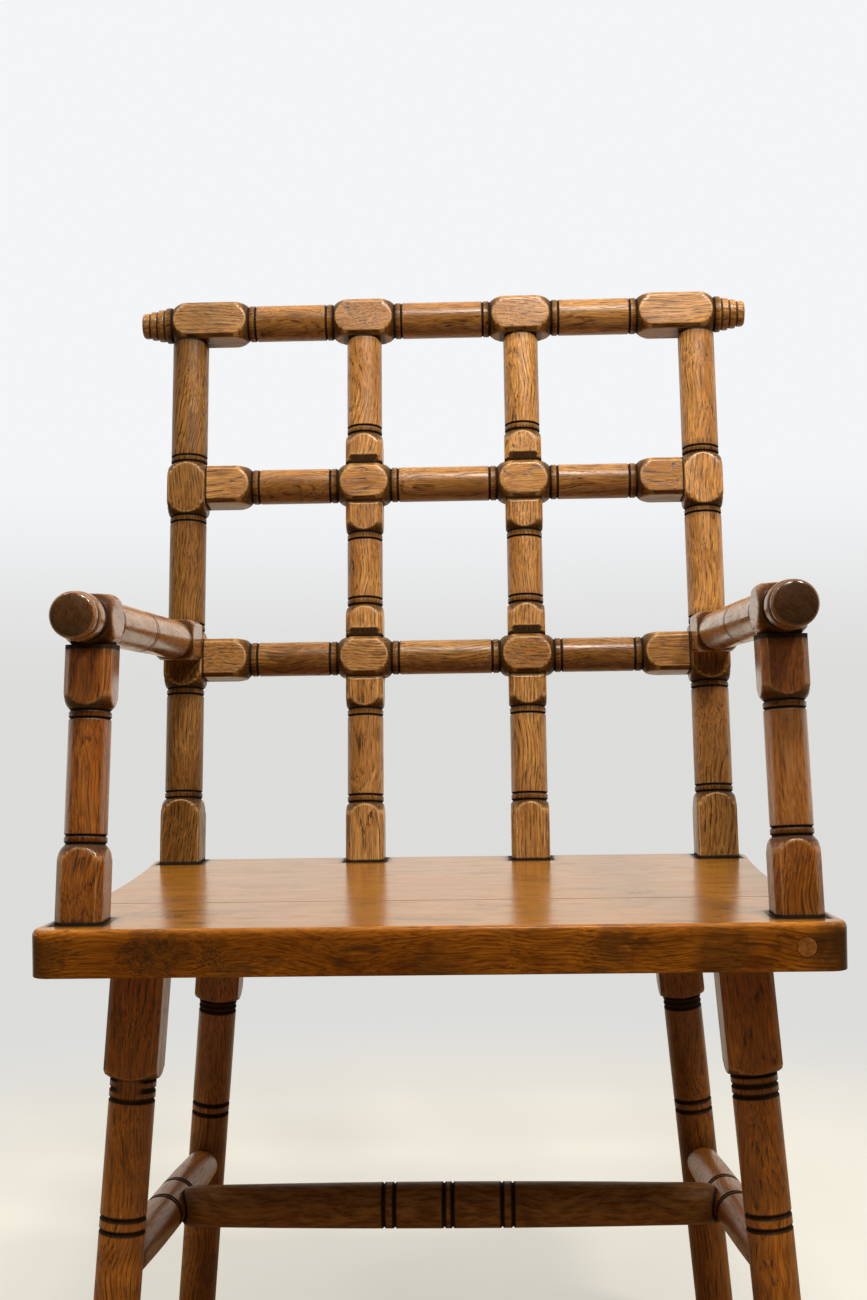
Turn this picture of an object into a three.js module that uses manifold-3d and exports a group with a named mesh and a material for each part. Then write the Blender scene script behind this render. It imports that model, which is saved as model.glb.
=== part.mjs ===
// A captains chair in turned and squared oak. A plank seat of two boards stands on four splayed legs
// tied by three stretchers. The raked back is a lattice of three rails, two posts and six short
// uprights, and each arm runs from a post to a knob over its own support.
// Millimetres, +Z up, the front of the chair faces -Y, and the middle of its footprint is the origin.

import * as THREE from 'three';
import { mergeVertices } from 'three/addons/utils/BufferGeometryUtils.js';
import Module from 'manifold-3d';

const wasm = await Module();
wasm.setup();

// Fits and cuts
const fitGap = 0.3;
const overrun = 60;
const tenonRoot = 10;

// Roundness of the turned work
const roundSides = 12;
const tenonSides = 6;
const noseSteps = 2;
const swellSteps = 4;
const cornerSteps = 2;
const sideSteps = 8;
const arrisSteps = 2;

// Squared stock and the turner's details, shared by the back and the arms
const stockWidth = 38;
const stockChamfer = 4;
const shaftRadius = 18;
const grooveWidth = 2.2;
const grooveDepth = 1.6;
const shoulderLength = 9.4;

// Seat
const seatHeight = 440;
const seatThickness = 35;
const seatDepth = 430;
const seatFrontHalf = 295.5;
const seatWaistInset = 14.5;
const seatWaistSetback = 190;
const seatBackInset = 8.5;
const frontCornerRadius = 14;
const backCornerRadius = 16;
const seatArris = 4;
const seamSetback = 132;
const plugRadius = 7.1;
const plugLength = 25;
const plugDrop = 17.5;

// Back frame, with rises measured up the raked plane from the seat
const rakeDegrees = 10;
const postBackInset = 24;
const postSideInset = 31.5;
const uprightSpacingShare = 0.309;
const crestRise = 543.7;
const middleRailRise = 371.5;
const lowerRailRise = 196.5;
const postFootBlock = 60.8;
const postLowerBlockHalf = 29;
const postMiddleBlockHalf = 27.75;
const postMiddleBlockDrop = 3.1;
const postGroovePitch = 6;
const postChamfer = 1.5;
const shaftTipRounding = 2.5;
const postTenonRadius = 12;
const postTenonDepth = 24;

// Crest rail
const crestOverhang = 48.5;
const crestFinialLength = 30.6;
const crestRings = 4;
const crestRingStep = 1.7;
const crestTipRounding = 1.6;
const crestEndBlockLength = 77.7;
const crestCrossBlockHalf = 31;

// Middle and lower rails
const middleRailRadius = 17.2;
const lowerRailRadius = 16.6;
const railGroovePitch = 7;
const railEndBlockLength = 45.8;
const railCrossBlockHalf = 26.5;
const railTenonRadius = 7;
const railTenonDepth = 16;

// Short uprights of the lattice
const uprightBlockLength = 32.3;
const uprightFootBlockLength = 54.8;
const uprightStock = 36.4;
const uprightChamfer = 5;
const uprightRadius = 17.4;
const uprightGroovePitch = 6.6;
const uprightHeadBevelLength = 4.2;
const uprightFootBevelLength = 8.5;
const uprightBevelDepth = 4;
const uprightTenonRadius = 9;
const uprightTenonDepth = 16;

// Arms
const armRise = 212;
const armTipSetback = 5;
const armTipRise = 227.4;
const armTipLean = 2.5;
const armRearBlockLength = 49;
const armGroovePitch = 7.5;
const armMiddleGrooveDistance = 200;
const armMiddleGroovePitch = 6;
const armBlockBehindSupport = 25;
const armBlockAheadOfSupport = 20;
const neckRadius = 15.8;
const beadBackSetback = 30;
const beadRadius = 18.6;
const beadFrontSetback = 12.5;
const beadRounding = 3;
const beadLip = 1;
const knobGrooveDepth = 2.2;
const knobRadius = 17.6;
const knobRounding = 2.6;
const armTenonRadius = 7;
const armTenonDepth = 22;

// Arm supports
const supportStock = 36;
const supportChamfer = 5;
const supportRadius = 16.1;
const supportSideInset = 32;
const supportFootSetback = 38;
const supportLean = 32;
const supportFootBlock = 57.6;
const supportHeadBlock = 51.1;
const supportGroovePitch = 5.9;
const supportTenonRadius = 9;
const supportTenonDepth = 20;

// Legs, with their heads under the seat; a slope is the sideways run for each unit of drop
const legChamfer = 4;
const legGrooveWidth = 3;
const legShoulderLength = 15;
const legTenonRadius = 12.5;
const legTenonDepth = 25;
const backLegInset = 91.2;
const frontLeg = {
  stock: 41,
  radius: 17.75,
  sideInset: 65.6,
  headSetback: 89.8,
  splayShare: 0.0805,
  rakeShare: -0.046,
  blockLength: 91.8,
  collarPitch: 7.9,
  pairInset: 30.8,
  pairPitch: 10.2,
};
const backLeg = {
  stock: 40,
  radius: 17,
  sideInset: 90.5,
  headSetback: seatDepth - backLegInset,
  splayShare: 0.1,
  rakeShare: 0.1,
  blockLength: 84.5,
  collarPitch: 4.7,
  pairInset: 47.5,
  pairPitch: 9.2,
};

// Stretchers
const stretcherHeight = 168;
const sideStretcherEndRadius = 13.5;
const sideStretcherMiddleRadius = 16.8;
const sideGrooveInset = 20.5;
const sideGroovePitch = 4.6;
const crossStretcherShare = 0.48;
const crossStretcherEndRadius = 16.5;
const crossStretcherMiddleRadius = 19;
const crossPairSpacing = 50;
const crossMiddlePitch = 7.2;
const crossPairPitch = 9.2;
const stretcherNoseLength = 10;
const stretcherTenonRadius = 8;
const stretcherTenonDepth = 12;

// Colours of the oak
const seatOak = { color: 0x8f5a2b, roughness: 0.36 };
const backOak = { color: 0x8c5c33, roughness: 0.45 };
const armOak = { color: 0x6e4a2e, roughness: 0.34 };
const legOak = { color: 0x64401f, roughness: 0.42 };
const plugOak = { color: 0xa86e3a, roughness: 0.45 };

// Sizes that follow from the ones above
const rake = THREE.MathUtils.degToRad(rakeDegrees);
const stockHalf = stockWidth / 2;
const seatWaistHalf = seatFrontHalf - seatWaistInset;
const seatBackHalf = seatFrontHalf - seatBackInset;
const postSetback = seatDepth - postBackInset;
const postHalfSpacing = seatBackHalf - postSideInset;
const uprightHalfSpacing = postHalfSpacing * uprightSpacingShare;
const crestHalfLength = postHalfSpacing + crestOverhang;
const supportFootHalfSpacing = seatFrontHalf - supportSideInset;
const supportHeadSetback = supportFootSetback + supportLean;
const armTipHalfSpacing = supportFootHalfSpacing - armTipLean;
const acrossChair = new THREE.Vector3(1, 0, 0);
const upward = new THREE.Vector3(0, 0, 1);
const forward = new THREE.Vector3(0, -1, 0);

// Turns a closed three.js geometry into a solid that can be cut and joined.
function solidFrom(geometry) {
  geometry.deleteAttribute('normal');
  geometry.deleteAttribute('uv');
  const merged = mergeVertices(geometry);
  const corners = merged.index.array;
  const kept = [];
  for (let at = 0; at < corners.length; at += 3) {
    const [a, b, c] = corners.slice(at, at + 3);
    if (a !== b && b !== c && c !== a) {
      kept.push(a, b, c);
    }
  }
  const vertProperties = new Float32Array(merged.attributes.position.array);
  const triVerts = new Uint32Array(kept);
  return new wasm.Manifold(new wasm.Mesh({ numProp: 3, vertProperties, triVerts }));
}

// Turns a finished solid back into a three.js geometry.
function geometryFrom(solid) {
  const mesh = solid.getMesh();
  const geometry = new THREE.BufferGeometry();
  geometry.setAttribute('position', new THREE.BufferAttribute(mesh.vertProperties, 3));
  geometry.setIndex(new THREE.BufferAttribute(mesh.triVerts, 1));
  geometry.computeVertexNormals();
  return geometry;
}

// A solid turned round the Y axis from [distance, radius] stations, given in any order.
function turned(stations, sides = roundSides) {
  const ordered = [...stations].sort((a, b) => a[0] - b[0]);
  const outline = ordered.map(([distance, radius]) => new THREE.Vector2(radius, distance));
  outline.unshift(new THREE.Vector2(0, outline[0].y));
  outline.push(new THREE.Vector2(0, outline[outline.length - 1].y));
  return solidFrom(new THREE.LatheGeometry(outline, sides));
}

// A square bar along the Y axis with its four long edges chamfered.
function chamferedBar(stock, start, end) {
  const { half } = stock;
  const flat = half - stock.chamfer;
  const outline = new THREE.Shape();
  outline.moveTo(half, -flat);
  outline.lineTo(half, flat);
  outline.lineTo(flat, half);
  outline.lineTo(-flat, half);
  outline.lineTo(-half, flat);
  outline.lineTo(-half, -flat);
  outline.lineTo(-flat, -half);
  outline.lineTo(flat, -half);
  const geometry = new THREE.ExtrudeGeometry(outline, { depth: end - start, bevelEnabled: false });
  geometry.rotateX(-Math.PI / 2);
  geometry.translate(0, start, 0);
  return solidFrom(geometry);
}

// The radius that clears the corners of a chamfered bar, so that the bar keeps its own faces there.
function clearOfBar(width, chamfer) {
  const reach = Math.hypot(width / 2, width / 2 - chamfer);
  return reach / Math.cos(Math.PI / roundSides) + grooveDepth / 2;
}

// A square bar's size: its half width, and the radius of the turned blank where the bar is left square.
function stockOf(width, chamfer) {
  return { width, chamfer, half: width / 2, blankRadius: clearOfBar(width, chamfer) };
}

// The three stations of a V groove.
function groove(centre, radiusAt, width = grooveWidth) {
  const near = centre - width / 2;
  const far = centre + width / 2;
  return [[near, radiusAt(near)], [centre, radiusAt(centre) - grooveDepth], [far, radiusAt(far)]];
}

// The sloping shoulder that rises from the root of a groove to the corners of a square block. Heading is
// 1 when the block lies further along the member than the groove, and -1 when it lies before it.
function shoulder(grooveCentre, heading, radius, stock, length = shoulderLength) {
  return [[grooveCentre, radius - grooveDepth], [grooveCentre + heading * length, stock.blankRadius]];
}

// A shoulder with its pair of grooves beside it on the shaft.
function blockEnd(firstGroove, heading, radius, stock, pitch) {
  return [
    ...shoulder(firstGroove, heading, radius, stock),
    [firstGroove - heading * grooveWidth / 2, radius],
    ...groove(firstGroove - heading * pitch, () => radius),
  ];
}

// A radius that swells from the ends of a shaft to its middle.
function swelling(length, endRadius, middleRadius) {
  return (distance) => {
    const offMiddleShare = (2 * distance) / length - 1;
    return middleRadius - (middleRadius - endRadius) * offMiddleShare ** 2;
  };
}

// The placing of a member whose own Y axis runs from a point along a direction.
function placeAlong(start, direction, side) {
  const along = direction.clone().normalize();
  const across = side.clone().addScaledVector(along, -side.dot(along)).normalize();
  const third = new THREE.Vector3().crossVectors(across, along);
  return new THREE.Matrix4().makeBasis(across, along, third).setPosition(start);
}

// Everything in a group shares the group's placing.
const seatGroup = new THREE.Group();
const backGroup = new THREE.Group();
const armGroup = new THREE.Group();
const legGroup = new THREE.Group();
backGroup.position.set(0, postSetback, seatHeight);
backGroup.rotation.x = -rake;
const pieces = [];

function addPiece(name, group, placing, oak, solid) {
  group.updateMatrix();
  const matrix = group.matrix.clone().multiply(placing);
  const piece = { name, group, placing, matrix, oak, solid };
  pieces.push(piece);
  return piece;
}

// A solid given in the chair's frame, moved into a piece's own frame.
function inFrameOf(piece, solid) {
  return solid.transform(piece.matrix.clone().invert().elements);
}

// A cube that lies against a plane, on the side that its normal points to.
function cubeBeyond(point, normal, side, width) {
  const geometry = new THREE.BoxGeometry(width, width, width);
  geometry.translate(0, width / 2, 0);
  return solidFrom(geometry).transform(placeAlong(point, normal, side).elements);
}

function trim(piece, point, normal, side, width = 2 * overrun) {
  piece.solid = piece.solid.subtract(inFrameOf(piece, cubeBeyond(point, normal, side, width)));
}

// Joins one piece to another by a round tenon and a blind socket on the same axis.
function tenonJoint(giver, receiver, face, direction, radius, depth) {
  const along = direction.clone().normalize();
  const side = Math.abs(along.x) < Math.abs(along.z) ? acrossChair : upward;
  const placing = placeAlong(face, along, side).elements;
  const peg = turned([[-tenonRoot, radius], [depth, radius]], tenonSides).transform(placing);
  const socketRadius = radius + fitGap;
  const hole = [[-tenonRoot, socketRadius], [depth + fitGap, socketRadius]];
  const socket = turned(hole, tenonSides).transform(placing);
  giver.solid = giver.solid.add(inFrameOf(giver, peg));
  receiver.solid = receiver.solid.subtract(inFrameOf(receiver, socket));
}

// A point of the back frame, a distance to the right, in front of its plane and up its slope.
function backPoint(right, ahead, rise) {
  backGroup.updateMatrix();
  return new THREE.Vector3(right, -ahead, rise).applyMatrix4(backGroup.matrix);
}

const mainStock = stockOf(stockWidth, stockChamfer);
const backUp = new THREE.Vector3(0, Math.sin(rake), Math.cos(rake));
const backAhead = new THREE.Vector3(0, -Math.cos(rake), Math.sin(rake));

// Half the seat's width, as a smooth curve through its front, its waist and its back.
function seatHalfWidth(setback) {
  const toWaist = (seatWaistHalf - seatFrontHalf) / seatWaistSetback;
  const toBack = (seatBackHalf - seatWaistHalf) / (seatDepth - seatWaistSetback);
  const bend = (toBack - toWaist) / seatDepth;
  return seatFrontHalf + toWaist * setback + bend * setback * (setback - seatWaistSetback);
}

function seatOutline() {
  const frontInset = seatHalfWidth(frontCornerRadius) - frontCornerRadius;
  const backStart = seatDepth - backCornerRadius;
  const backInset = seatHalfWidth(backStart) - backCornerRadius;
  const run = backStart - frontCornerRadius;
  const outline = new THREE.Shape();
  outline.moveTo(-frontInset, 0);
  outline.lineTo(frontInset, 0);
  outline.absarc(frontInset, frontCornerRadius, frontCornerRadius, -Math.PI / 2, 0);
  for (let step = 1; step <= sideSteps; step += 1) {
    const setback = frontCornerRadius + (run * step) / sideSteps;
    outline.lineTo(seatHalfWidth(setback), setback);
  }
  outline.absarc(backInset, backStart, backCornerRadius, 0, Math.PI / 2);
  outline.lineTo(-backInset, seatDepth);
  outline.absarc(-backInset, backStart, backCornerRadius, Math.PI / 2, Math.PI);
  for (let step = 1; step <= sideSteps; step += 1) {
    const setback = backStart - (run * step) / sideSteps;
    outline.lineTo(-seatHalfWidth(setback), setback);
  }
  outline.absarc(-frontInset, frontCornerRadius, frontCornerRadius, Math.PI, 1.5 * Math.PI);
  return outline;
}

// One board of the seat: the whole plank, rounded along its top edge, cut at the seam.
function seatBoard(name, keepFront) {
  const geometry = new THREE.ExtrudeGeometry(seatOutline(), {
    depth: seatThickness,
    curveSegments: cornerSteps,
    bevelThickness: seatArris,
    bevelSize: seatArris,
    bevelOffset: -seatArris,
    bevelSegments: arrisSteps,
  });
  geometry.translate(0, 0, seatHeight - seatThickness - seatArris);
  const board = addPiece(name, seatGroup, new THREE.Matrix4(), seatOak, solidFrom(geometry));
  const cutWidth = 2 * (seatFrontHalf + seatDepth);
  const underside = new THREE.Vector3(0, seatDepth / 2, seatHeight - seatThickness);
  const away = keepFront ? 1 : -1;
  const seam = new THREE.Vector3(0, seamSetback - away * fitGap / 2, seatHeight);
  trim(board, underside, upward.clone().negate(), acrossChair, cutWidth);
  trim(board, seam, forward.clone().multiplyScalar(-away), acrossChair, cutWidth);
  return board;
}

// The round plug in the front edge, in line with the right arm support.
function seatFrontPlug(board) {
  const face = new THREE.Vector3(supportFootHalfSpacing, 0, seatHeight - plugDrop);
  const placing = placeAlong(face, forward.clone().negate(), acrossChair);
  addPiece('seat_front_plug', seatGroup, placing, plugOak, turned([[0, plugRadius], [plugLength, plugRadius]]));
  const holeRadius = plugRadius + fitGap;
  const hole = turned([[-overrun, holeRadius], [plugLength + fitGap, holeRadius]]);
  board.solid = board.solid.subtract(inFrameOf(board, hole.transform(placing.elements)));
}

// A back post: three square blocks, with turned shafts and groove pairs between and above them.
function backPost(name, right) {
  const stock = stockOf(stockWidth, postChamfer);
  const top = crestRise - stockHalf - fitGap;
  const middle = middleRailRise - postMiddleBlockDrop;
  const end = (distance, heading) => blockEnd(distance, heading, shaftRadius, stock, postGroovePitch);
  const stations = [
    [-overrun, stock.blankRadius],
    ...end(postFootBlock, -1),
    ...end(lowerRailRise - postLowerBlockHalf, 1),
    ...end(lowerRailRise + postLowerBlockHalf, -1),
    ...end(middle - postMiddleBlockHalf, 1),
    ...end(middle + postMiddleBlockHalf, -1),
    [top - shaftTipRounding, shaftRadius],
    [top, shaftRadius - shaftTipRounding / 2],
  ];
  const solid = turned(stations).intersect(chamferedBar(stock, -overrun, top + overrun));
  const placing = placeAlong(new THREE.Vector3(right, 0, 0), upward, acrossChair);
  const post = addPiece(name, backGroup, placing, backOak, solid);
  trim(post, new THREE.Vector3(right, postSetback, seatHeight + fitGap), upward.clone().negate(), acrossChair);
  return post;
}

// A rail from its stations on the right half, which are mirrored to the left.
function backRail(name, rise, half, rightStations) {
  const stations = [...rightStations, ...rightStations.map(([distance, radius]) => [-distance, radius])];
  const bar = chamferedBar(mainStock, -half - overrun, half + overrun);
  const placing = placeAlong(new THREE.Vector3(0, 0, rise), acrossChair, upward);
  return addPiece(name, backGroup, placing, backOak, turned(stations).intersect(bar));
}

// The two block ends either side of an upright.
function crossing(blockHalf, radius) {
  return [
    ...blockEnd(uprightHalfSpacing - blockHalf, 1, radius, mainStock, railGroovePitch),
    ...blockEnd(uprightHalfSpacing + blockHalf, -1, radius, mainStock, railGroovePitch),
  ];
}

// The crest rail, with a ringed finial beyond each end block.
function crestRail() {
  const ringPitch = crestFinialLength / crestRings;
  const finialStart = crestHalfLength - crestFinialLength;
  const blockStart = finialStart - crestEndBlockLength;
  const stations = [
    ...crossing(crestCrossBlockHalf, shaftRadius),
    ...blockEnd(blockStart, 1, shaftRadius, mainStock, railGroovePitch),
    ...shoulder(finialStart, -1, shaftRadius, mainStock),
  ];
  for (let ring = 0; ring < crestRings; ring += 1) {
    const radius = shaftRadius - ring * crestRingStep;
    const ringStart = finialStart + ring * ringPitch;
    const ringEnd = ringStart + ringPitch;
    const tip = ring === crestRings - 1;
    if (ring > 0) {
      stations.push([ringStart, radius - grooveDepth]);
    }
    stations.push([ringStart + grooveWidth / 2, radius]);
    stations.push([ringEnd - (tip ? crestTipRounding : grooveWidth / 2), radius]);
  }
  const tipRadius = shaftRadius - (crestRings - 1) * crestRingStep;
  stations.push([crestHalfLength, tipRadius - crestTipRounding]);
  return backRail('crest_rail', crestRise, crestHalfLength, stations);
}

// A rail between the posts, with a block at each end and at each upright.
function latticeRail(name, rise, radius) {
  const half = postHalfSpacing - stockHalf - fitGap;
  const stations = [
    ...crossing(railCrossBlockHalf, radius),
    ...blockEnd(half - railEndBlockLength, 1, radius, mainStock, railGroovePitch),
    [half, mainStock.blankRadius],
  ];
  return backRail(name, rise, half, stations);
}

// The side outline of a short upright, with flat bevels on the front and the back at its ends.
function bevelledSlab(start, end, footBevel, headBevel) {
  const half = uprightStock / 2;
  const narrow = half - uprightBevelDepth;
  const wide = half + uprightBevelDepth;
  const footHalf = footBevel > 0 ? narrow : wide;
  const headHalf = headBevel > 0 ? narrow : wide;
  const footEnd = start + 2 * footBevel;
  const headStart = end - 2 * headBevel;
  const outline = new THREE.Shape();
  outline.moveTo(footHalf, start);
  if (footBevel > 0) {
    outline.lineTo(wide, footEnd);
  }
  if (headBevel > 0) {
    outline.lineTo(wide, headStart);
  }
  outline.lineTo(headHalf, end);
  outline.lineTo(-headHalf, end);
  if (headBevel > 0) {
    outline.lineTo(-wide, headStart);
  }
  if (footBevel > 0) {
    outline.lineTo(-wide, footEnd);
  }
  outline.lineTo(-footHalf, start);
  const geometry = new THREE.ExtrudeGeometry(outline, { depth: 2 * wide, bevelEnabled: false });
  geometry.translate(0, 0, -wide);
  geometry.rotateY(Math.PI / 2);
  return solidFrom(geometry);
}

// A short upright from one rise to another, with a block of the given length at either end.
function shortUpright(name, right, bottom, top, footBlock, headBlock, footBevel, headBevel) {
  const stock = stockOf(uprightStock, uprightChamfer);
  const start = bottom + fitGap;
  const end = top - fitGap;
  const stations = [
    [start - overrun, stock.blankRadius],
    ...blockEnd(bottom + footBlock, -1, uprightRadius, stock, uprightGroovePitch),
  ];
  if (headBlock > 0) {
    stations.push(...blockEnd(top - headBlock, 1, uprightRadius, stock, uprightGroovePitch));
    stations.push([end + overrun, stock.blankRadius]);
  } else {
    stations.push([end - shaftTipRounding, uprightRadius]);
    stations.push([end, uprightRadius - shaftTipRounding / 2]);
  }
  const foot = bottom > 0 ? start : start - overrun;
  const slab = bevelledSlab(foot, end, footBevel, headBevel);
  const bar = chamferedBar(stock, start - 2 * overrun, end + 2 * overrun);
  const placing = placeAlong(new THREE.Vector3(right, 0, 0), upward, acrossChair);
  return addPiece(name, backGroup, placing, backOak, turned(stations).intersect(bar).intersect(slab));
}

// The line of an arm's axis, from the front face of its post to the tip of its knob.
function armLine(sign) {
  const rear = backPoint(sign * postHalfSpacing, stockHalf, armRise);
  const tip = new THREE.Vector3(sign * armTipHalfSpacing, armTipSetback, seatHeight + armTipRise);
  const direction = tip.clone().sub(rear).normalize();
  const length = tip.distanceTo(rear);
  const overSupport = rear.clone().lerp(tip, (rear.y - supportHeadSetback) / (rear.y - tip.y));
  return { rear, tip, direction, length, overSupport };
}

// The knob and the bead behind it, measured back from the tip.
function knobStations(length) {
  const beadBack = length - beadBackSetback;
  const beadFront = length - beadFrontSetback;
  return [
    [beadBack - grooveWidth, neckRadius],
    [beadBack, beadRadius - beadLip],
    [beadBack + beadRounding, beadRadius],
    [beadFront - beadRounding, beadRadius],
    [beadFront, knobRadius - knobGrooveDepth],
    [beadFront + grooveWidth, knobRadius],
    [length - knobRounding, knobRadius],
    [length, knobRadius - knobRounding],
  ];
}

function arm(name, sign) {
  const line = armLine(sign);
  const plain = () => shaftRadius;
  const overSupport = line.rear.distanceTo(line.overSupport);
  const blockFront = overSupport + armBlockAheadOfSupport;
  const stations = [
    [-overrun, mainStock.blankRadius],
    ...blockEnd(armRearBlockLength, -1, shaftRadius, mainStock, armGroovePitch),
    ...groove(armMiddleGrooveDistance - armMiddleGroovePitch / 2, plain),
    ...groove(armMiddleGrooveDistance + armMiddleGroovePitch / 2, plain),
    ...blockEnd(overSupport - armBlockBehindSupport, 1, shaftRadius, mainStock, armGroovePitch),
    ...shoulder(blockFront, -1, neckRadius + grooveDepth, mainStock),
    ...knobStations(line.length),
  ];
  const bar = chamferedBar(mainStock, -overrun, line.length + overrun);
  const placing = placeAlong(line.rear, line.direction, acrossChair);
  const piece = addPiece(name, armGroup, placing, armOak, turned(stations).intersect(bar));
  const seatedRear = line.rear.clone().addScaledVector(backAhead, fitGap);
  trim(piece, seatedRear, backAhead.clone().negate(), acrossChair);
  return piece;
}

// The point and the direction where an arm support meets the underside of its arm.
function supportLine(sign) {
  const line = armLine(sign);
  const foot = new THREE.Vector3(sign * supportFootHalfSpacing, supportFootSetback, seatHeight);
  const armDown = new THREE.Vector3().crossVectors(line.direction, acrossChair).normalize();
  if (armDown.z > 0) {
    armDown.negate();
  }
  const head = line.overSupport.clone().addScaledVector(armDown, stockHalf);
  return { foot, head, armDown, direction: head.clone().sub(foot).normalize(), length: head.distanceTo(foot) };
}

function armSupport(name, sign) {
  const line = supportLine(sign);
  const stock = stockOf(supportStock, supportChamfer);
  const end = (distance, heading) => blockEnd(distance, heading, supportRadius, stock, supportGroovePitch);
  const stations = [
    [-overrun, stock.blankRadius],
    ...end(supportFootBlock, -1),
    ...end(line.length - supportHeadBlock, 1),
    [line.length + overrun, stock.blankRadius],
  ];
  const bar = chamferedBar(stock, -2 * overrun, line.length + 2 * overrun);
  const placing = placeAlong(line.foot, line.direction, acrossChair);
  const piece = addPiece(name, armGroup, placing, armOak, turned(stations).intersect(bar));
  const seatedFoot = line.foot.clone().addScaledVector(upward, fitGap);
  const seatedHead = line.head.clone().addScaledVector(line.armDown, fitGap);
  trim(piece, seatedFoot, upward.clone().negate(), acrossChair);
  trim(piece, seatedHead, line.armDown.clone().negate(), acrossChair);
  return piece;
}

// The line of a leg's axis, from the underside of the seat down to the floor.
function legLine(sizes, sign) {
  const headHeight = seatHeight - seatThickness;
  const head = new THREE.Vector3(sign * (seatFrontHalf - sizes.sideInset), sizes.headSetback, headHeight);
  const slope = new THREE.Vector3(sign * sizes.splayShare, sizes.rakeShare, -1);
  const atHeight = (height) => head.clone().addScaledVector(slope, headHeight - height);
  const length = head.distanceTo(atHeight(0));
  const toStretcher = head.distanceTo(atHeight(stretcherHeight));
  return { head, atHeight, direction: slope.clone().normalize(), length, toStretcher };
}

function leg(name, sizes, sign) {
  const line = legLine(sizes, sign);
  const stock = stockOf(sizes.stock, legChamfer);
  const plain = () => sizes.radius;
  const farInset = sizes.pairInset + sizes.pairPitch;
  const stations = [
    [-overrun, stock.blankRadius],
    ...shoulder(sizes.blockLength, -1, sizes.radius, stock, legShoulderLength),
    [sizes.blockLength + legGrooveWidth / 2, sizes.radius],
    ...groove(sizes.blockLength + sizes.collarPitch, plain, legGrooveWidth),
    ...groove(sizes.blockLength + 2 * sizes.collarPitch, plain, legGrooveWidth),
    [line.length + overrun, sizes.radius],
  ];
  for (const inset of [-farInset, -sizes.pairInset, sizes.pairInset, farInset]) {
    stations.push(...groove(line.toStretcher + inset, plain, legGrooveWidth));
  }
  const bar = chamferedBar(stock, -2 * overrun, line.length + 2 * overrun);
  const placing = placeAlong(line.head, line.direction, acrossChair);
  const piece = addPiece(name, legGroup, placing, legOak, turned(stations).intersect(bar));
  const seatedHead = line.head.clone().addScaledVector(upward, -fitGap);
  trim(piece, seatedHead, upward, acrossChair);
  trim(piece, line.atHeight(0), upward.clone().negate(), acrossChair);
  return piece;
}

// A stretcher between two points, drawn in at both ends to a nose that seats on a round member.
function stretcher(name, from, to, radiusAt, grooveDistances, noseStart) {
  const length = from.distanceTo(to);
  const direction = to.clone().sub(from).normalize();
  const stations = [];
  const noses = [[noseStart, 1, 0], [length - noseStart, -1, length]];
  for (const [face, heading, endDistance] of noses) {
    const nose = face + heading * stretcherNoseLength;
    const endRadius = radiusAt(nose);
    const noseRadius = (endRadius + stretcherTenonRadius) / 2;
    stations.push([endDistance, noseRadius]);
    stations.push([face, noseRadius]);
    for (let step = 1; step <= noseSteps; step += 1) {
      const angle = (step / noseSteps) * Math.PI / 2;
      const distance = face + heading * stretcherNoseLength * (1 - Math.cos(angle));
      stations.push([distance, noseRadius + (endRadius - noseRadius) * Math.sin(angle)]);
    }
  }
  for (let step = 1; step < swellSteps; step += 1) {
    const distance = noseStart + ((length - 2 * noseStart) * step) / swellSteps;
    const onGroove = grooveDistances.some((centre) => Math.abs(centre - distance) < grooveWidth);
    if (!onGroove) {
      stations.push([distance, radiusAt(distance)]);
    }
  }
  for (const centre of grooveDistances) {
    stations.push(...groove(centre, radiusAt));
  }
  const placing = placeAlong(from, direction, upward);
  return addPiece(name, legGroup, placing, legOak, turned(stations));
}

// Cuts a stretcher's end to the round of the member that carries it.
function copeTo(piece, line, radius) {
  const placing = placeAlong(line.start, line.direction, line.side);
  const sleeve = turned([[-overrun, radius + fitGap], [line.length + overrun, radius + fitGap]]);
  piece.solid = piece.solid.subtract(inFrameOf(piece, sleeve.transform(placing.elements)));
}

// The line of a side stretcher, from the back leg to the front leg at one height.
function sideLine(sign) {
  const start = legLine(backLeg, sign).atHeight(stretcherHeight);
  const end = legLine(frontLeg, sign).atHeight(stretcherHeight);
  const direction = end.clone().sub(start).normalize();
  return { start, end, direction, side: upward, length: start.distanceTo(end) };
}

function sideStretcher(name, sign) {
  const line = sideLine(sign);
  const crossAt = line.length * crossStretcherShare;
  const farInset = sideGrooveInset + sideGroovePitch;
  const grooves = [-farInset, -sideGrooveInset, sideGrooveInset, farInset].map((inset) => crossAt + inset);
  const radiusAt = swelling(line.length, sideStretcherEndRadius, sideStretcherMiddleRadius);
  const piece = stretcher(name, line.start, line.end, radiusAt, grooves, backLeg.radius);
  for (const sizes of [backLeg, frontLeg]) {
    const along = legLine(sizes, sign);
    const sleeve = { start: along.head, direction: along.direction, side: acrossChair, length: along.length };
    copeTo(piece, sleeve, sizes.radius);
  }
  return piece;
}

function crossStretcher() {
  const ends = [-1, 1].map((sign) => {
    const line = sideLine(sign);
    return line.start.clone().lerp(line.end, crossStretcherShare);
  });
  const length = ends[0].distanceTo(ends[1]);
  const pairs = [
    [-crossPairSpacing, crossPairPitch],
    [0, crossMiddlePitch],
    [crossPairSpacing, crossPairPitch],
  ];
  const grooves = [];
  for (const [centre, pitch] of pairs) {
    grooves.push(length / 2 + centre - pitch / 2);
    grooves.push(length / 2 + centre + pitch / 2);
  }
  const radiusAt = swelling(length, crossStretcherEndRadius, crossStretcherMiddleRadius);
  const piece = stretcher('cross_stretcher', ends[0], ends[1], radiusAt, grooves, sideStretcherMiddleRadius);
  for (const sign of [-1, 1]) {
    copeTo(piece, sideLine(sign), sideStretcherMiddleRadius);
  }
  return piece;
}

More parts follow.
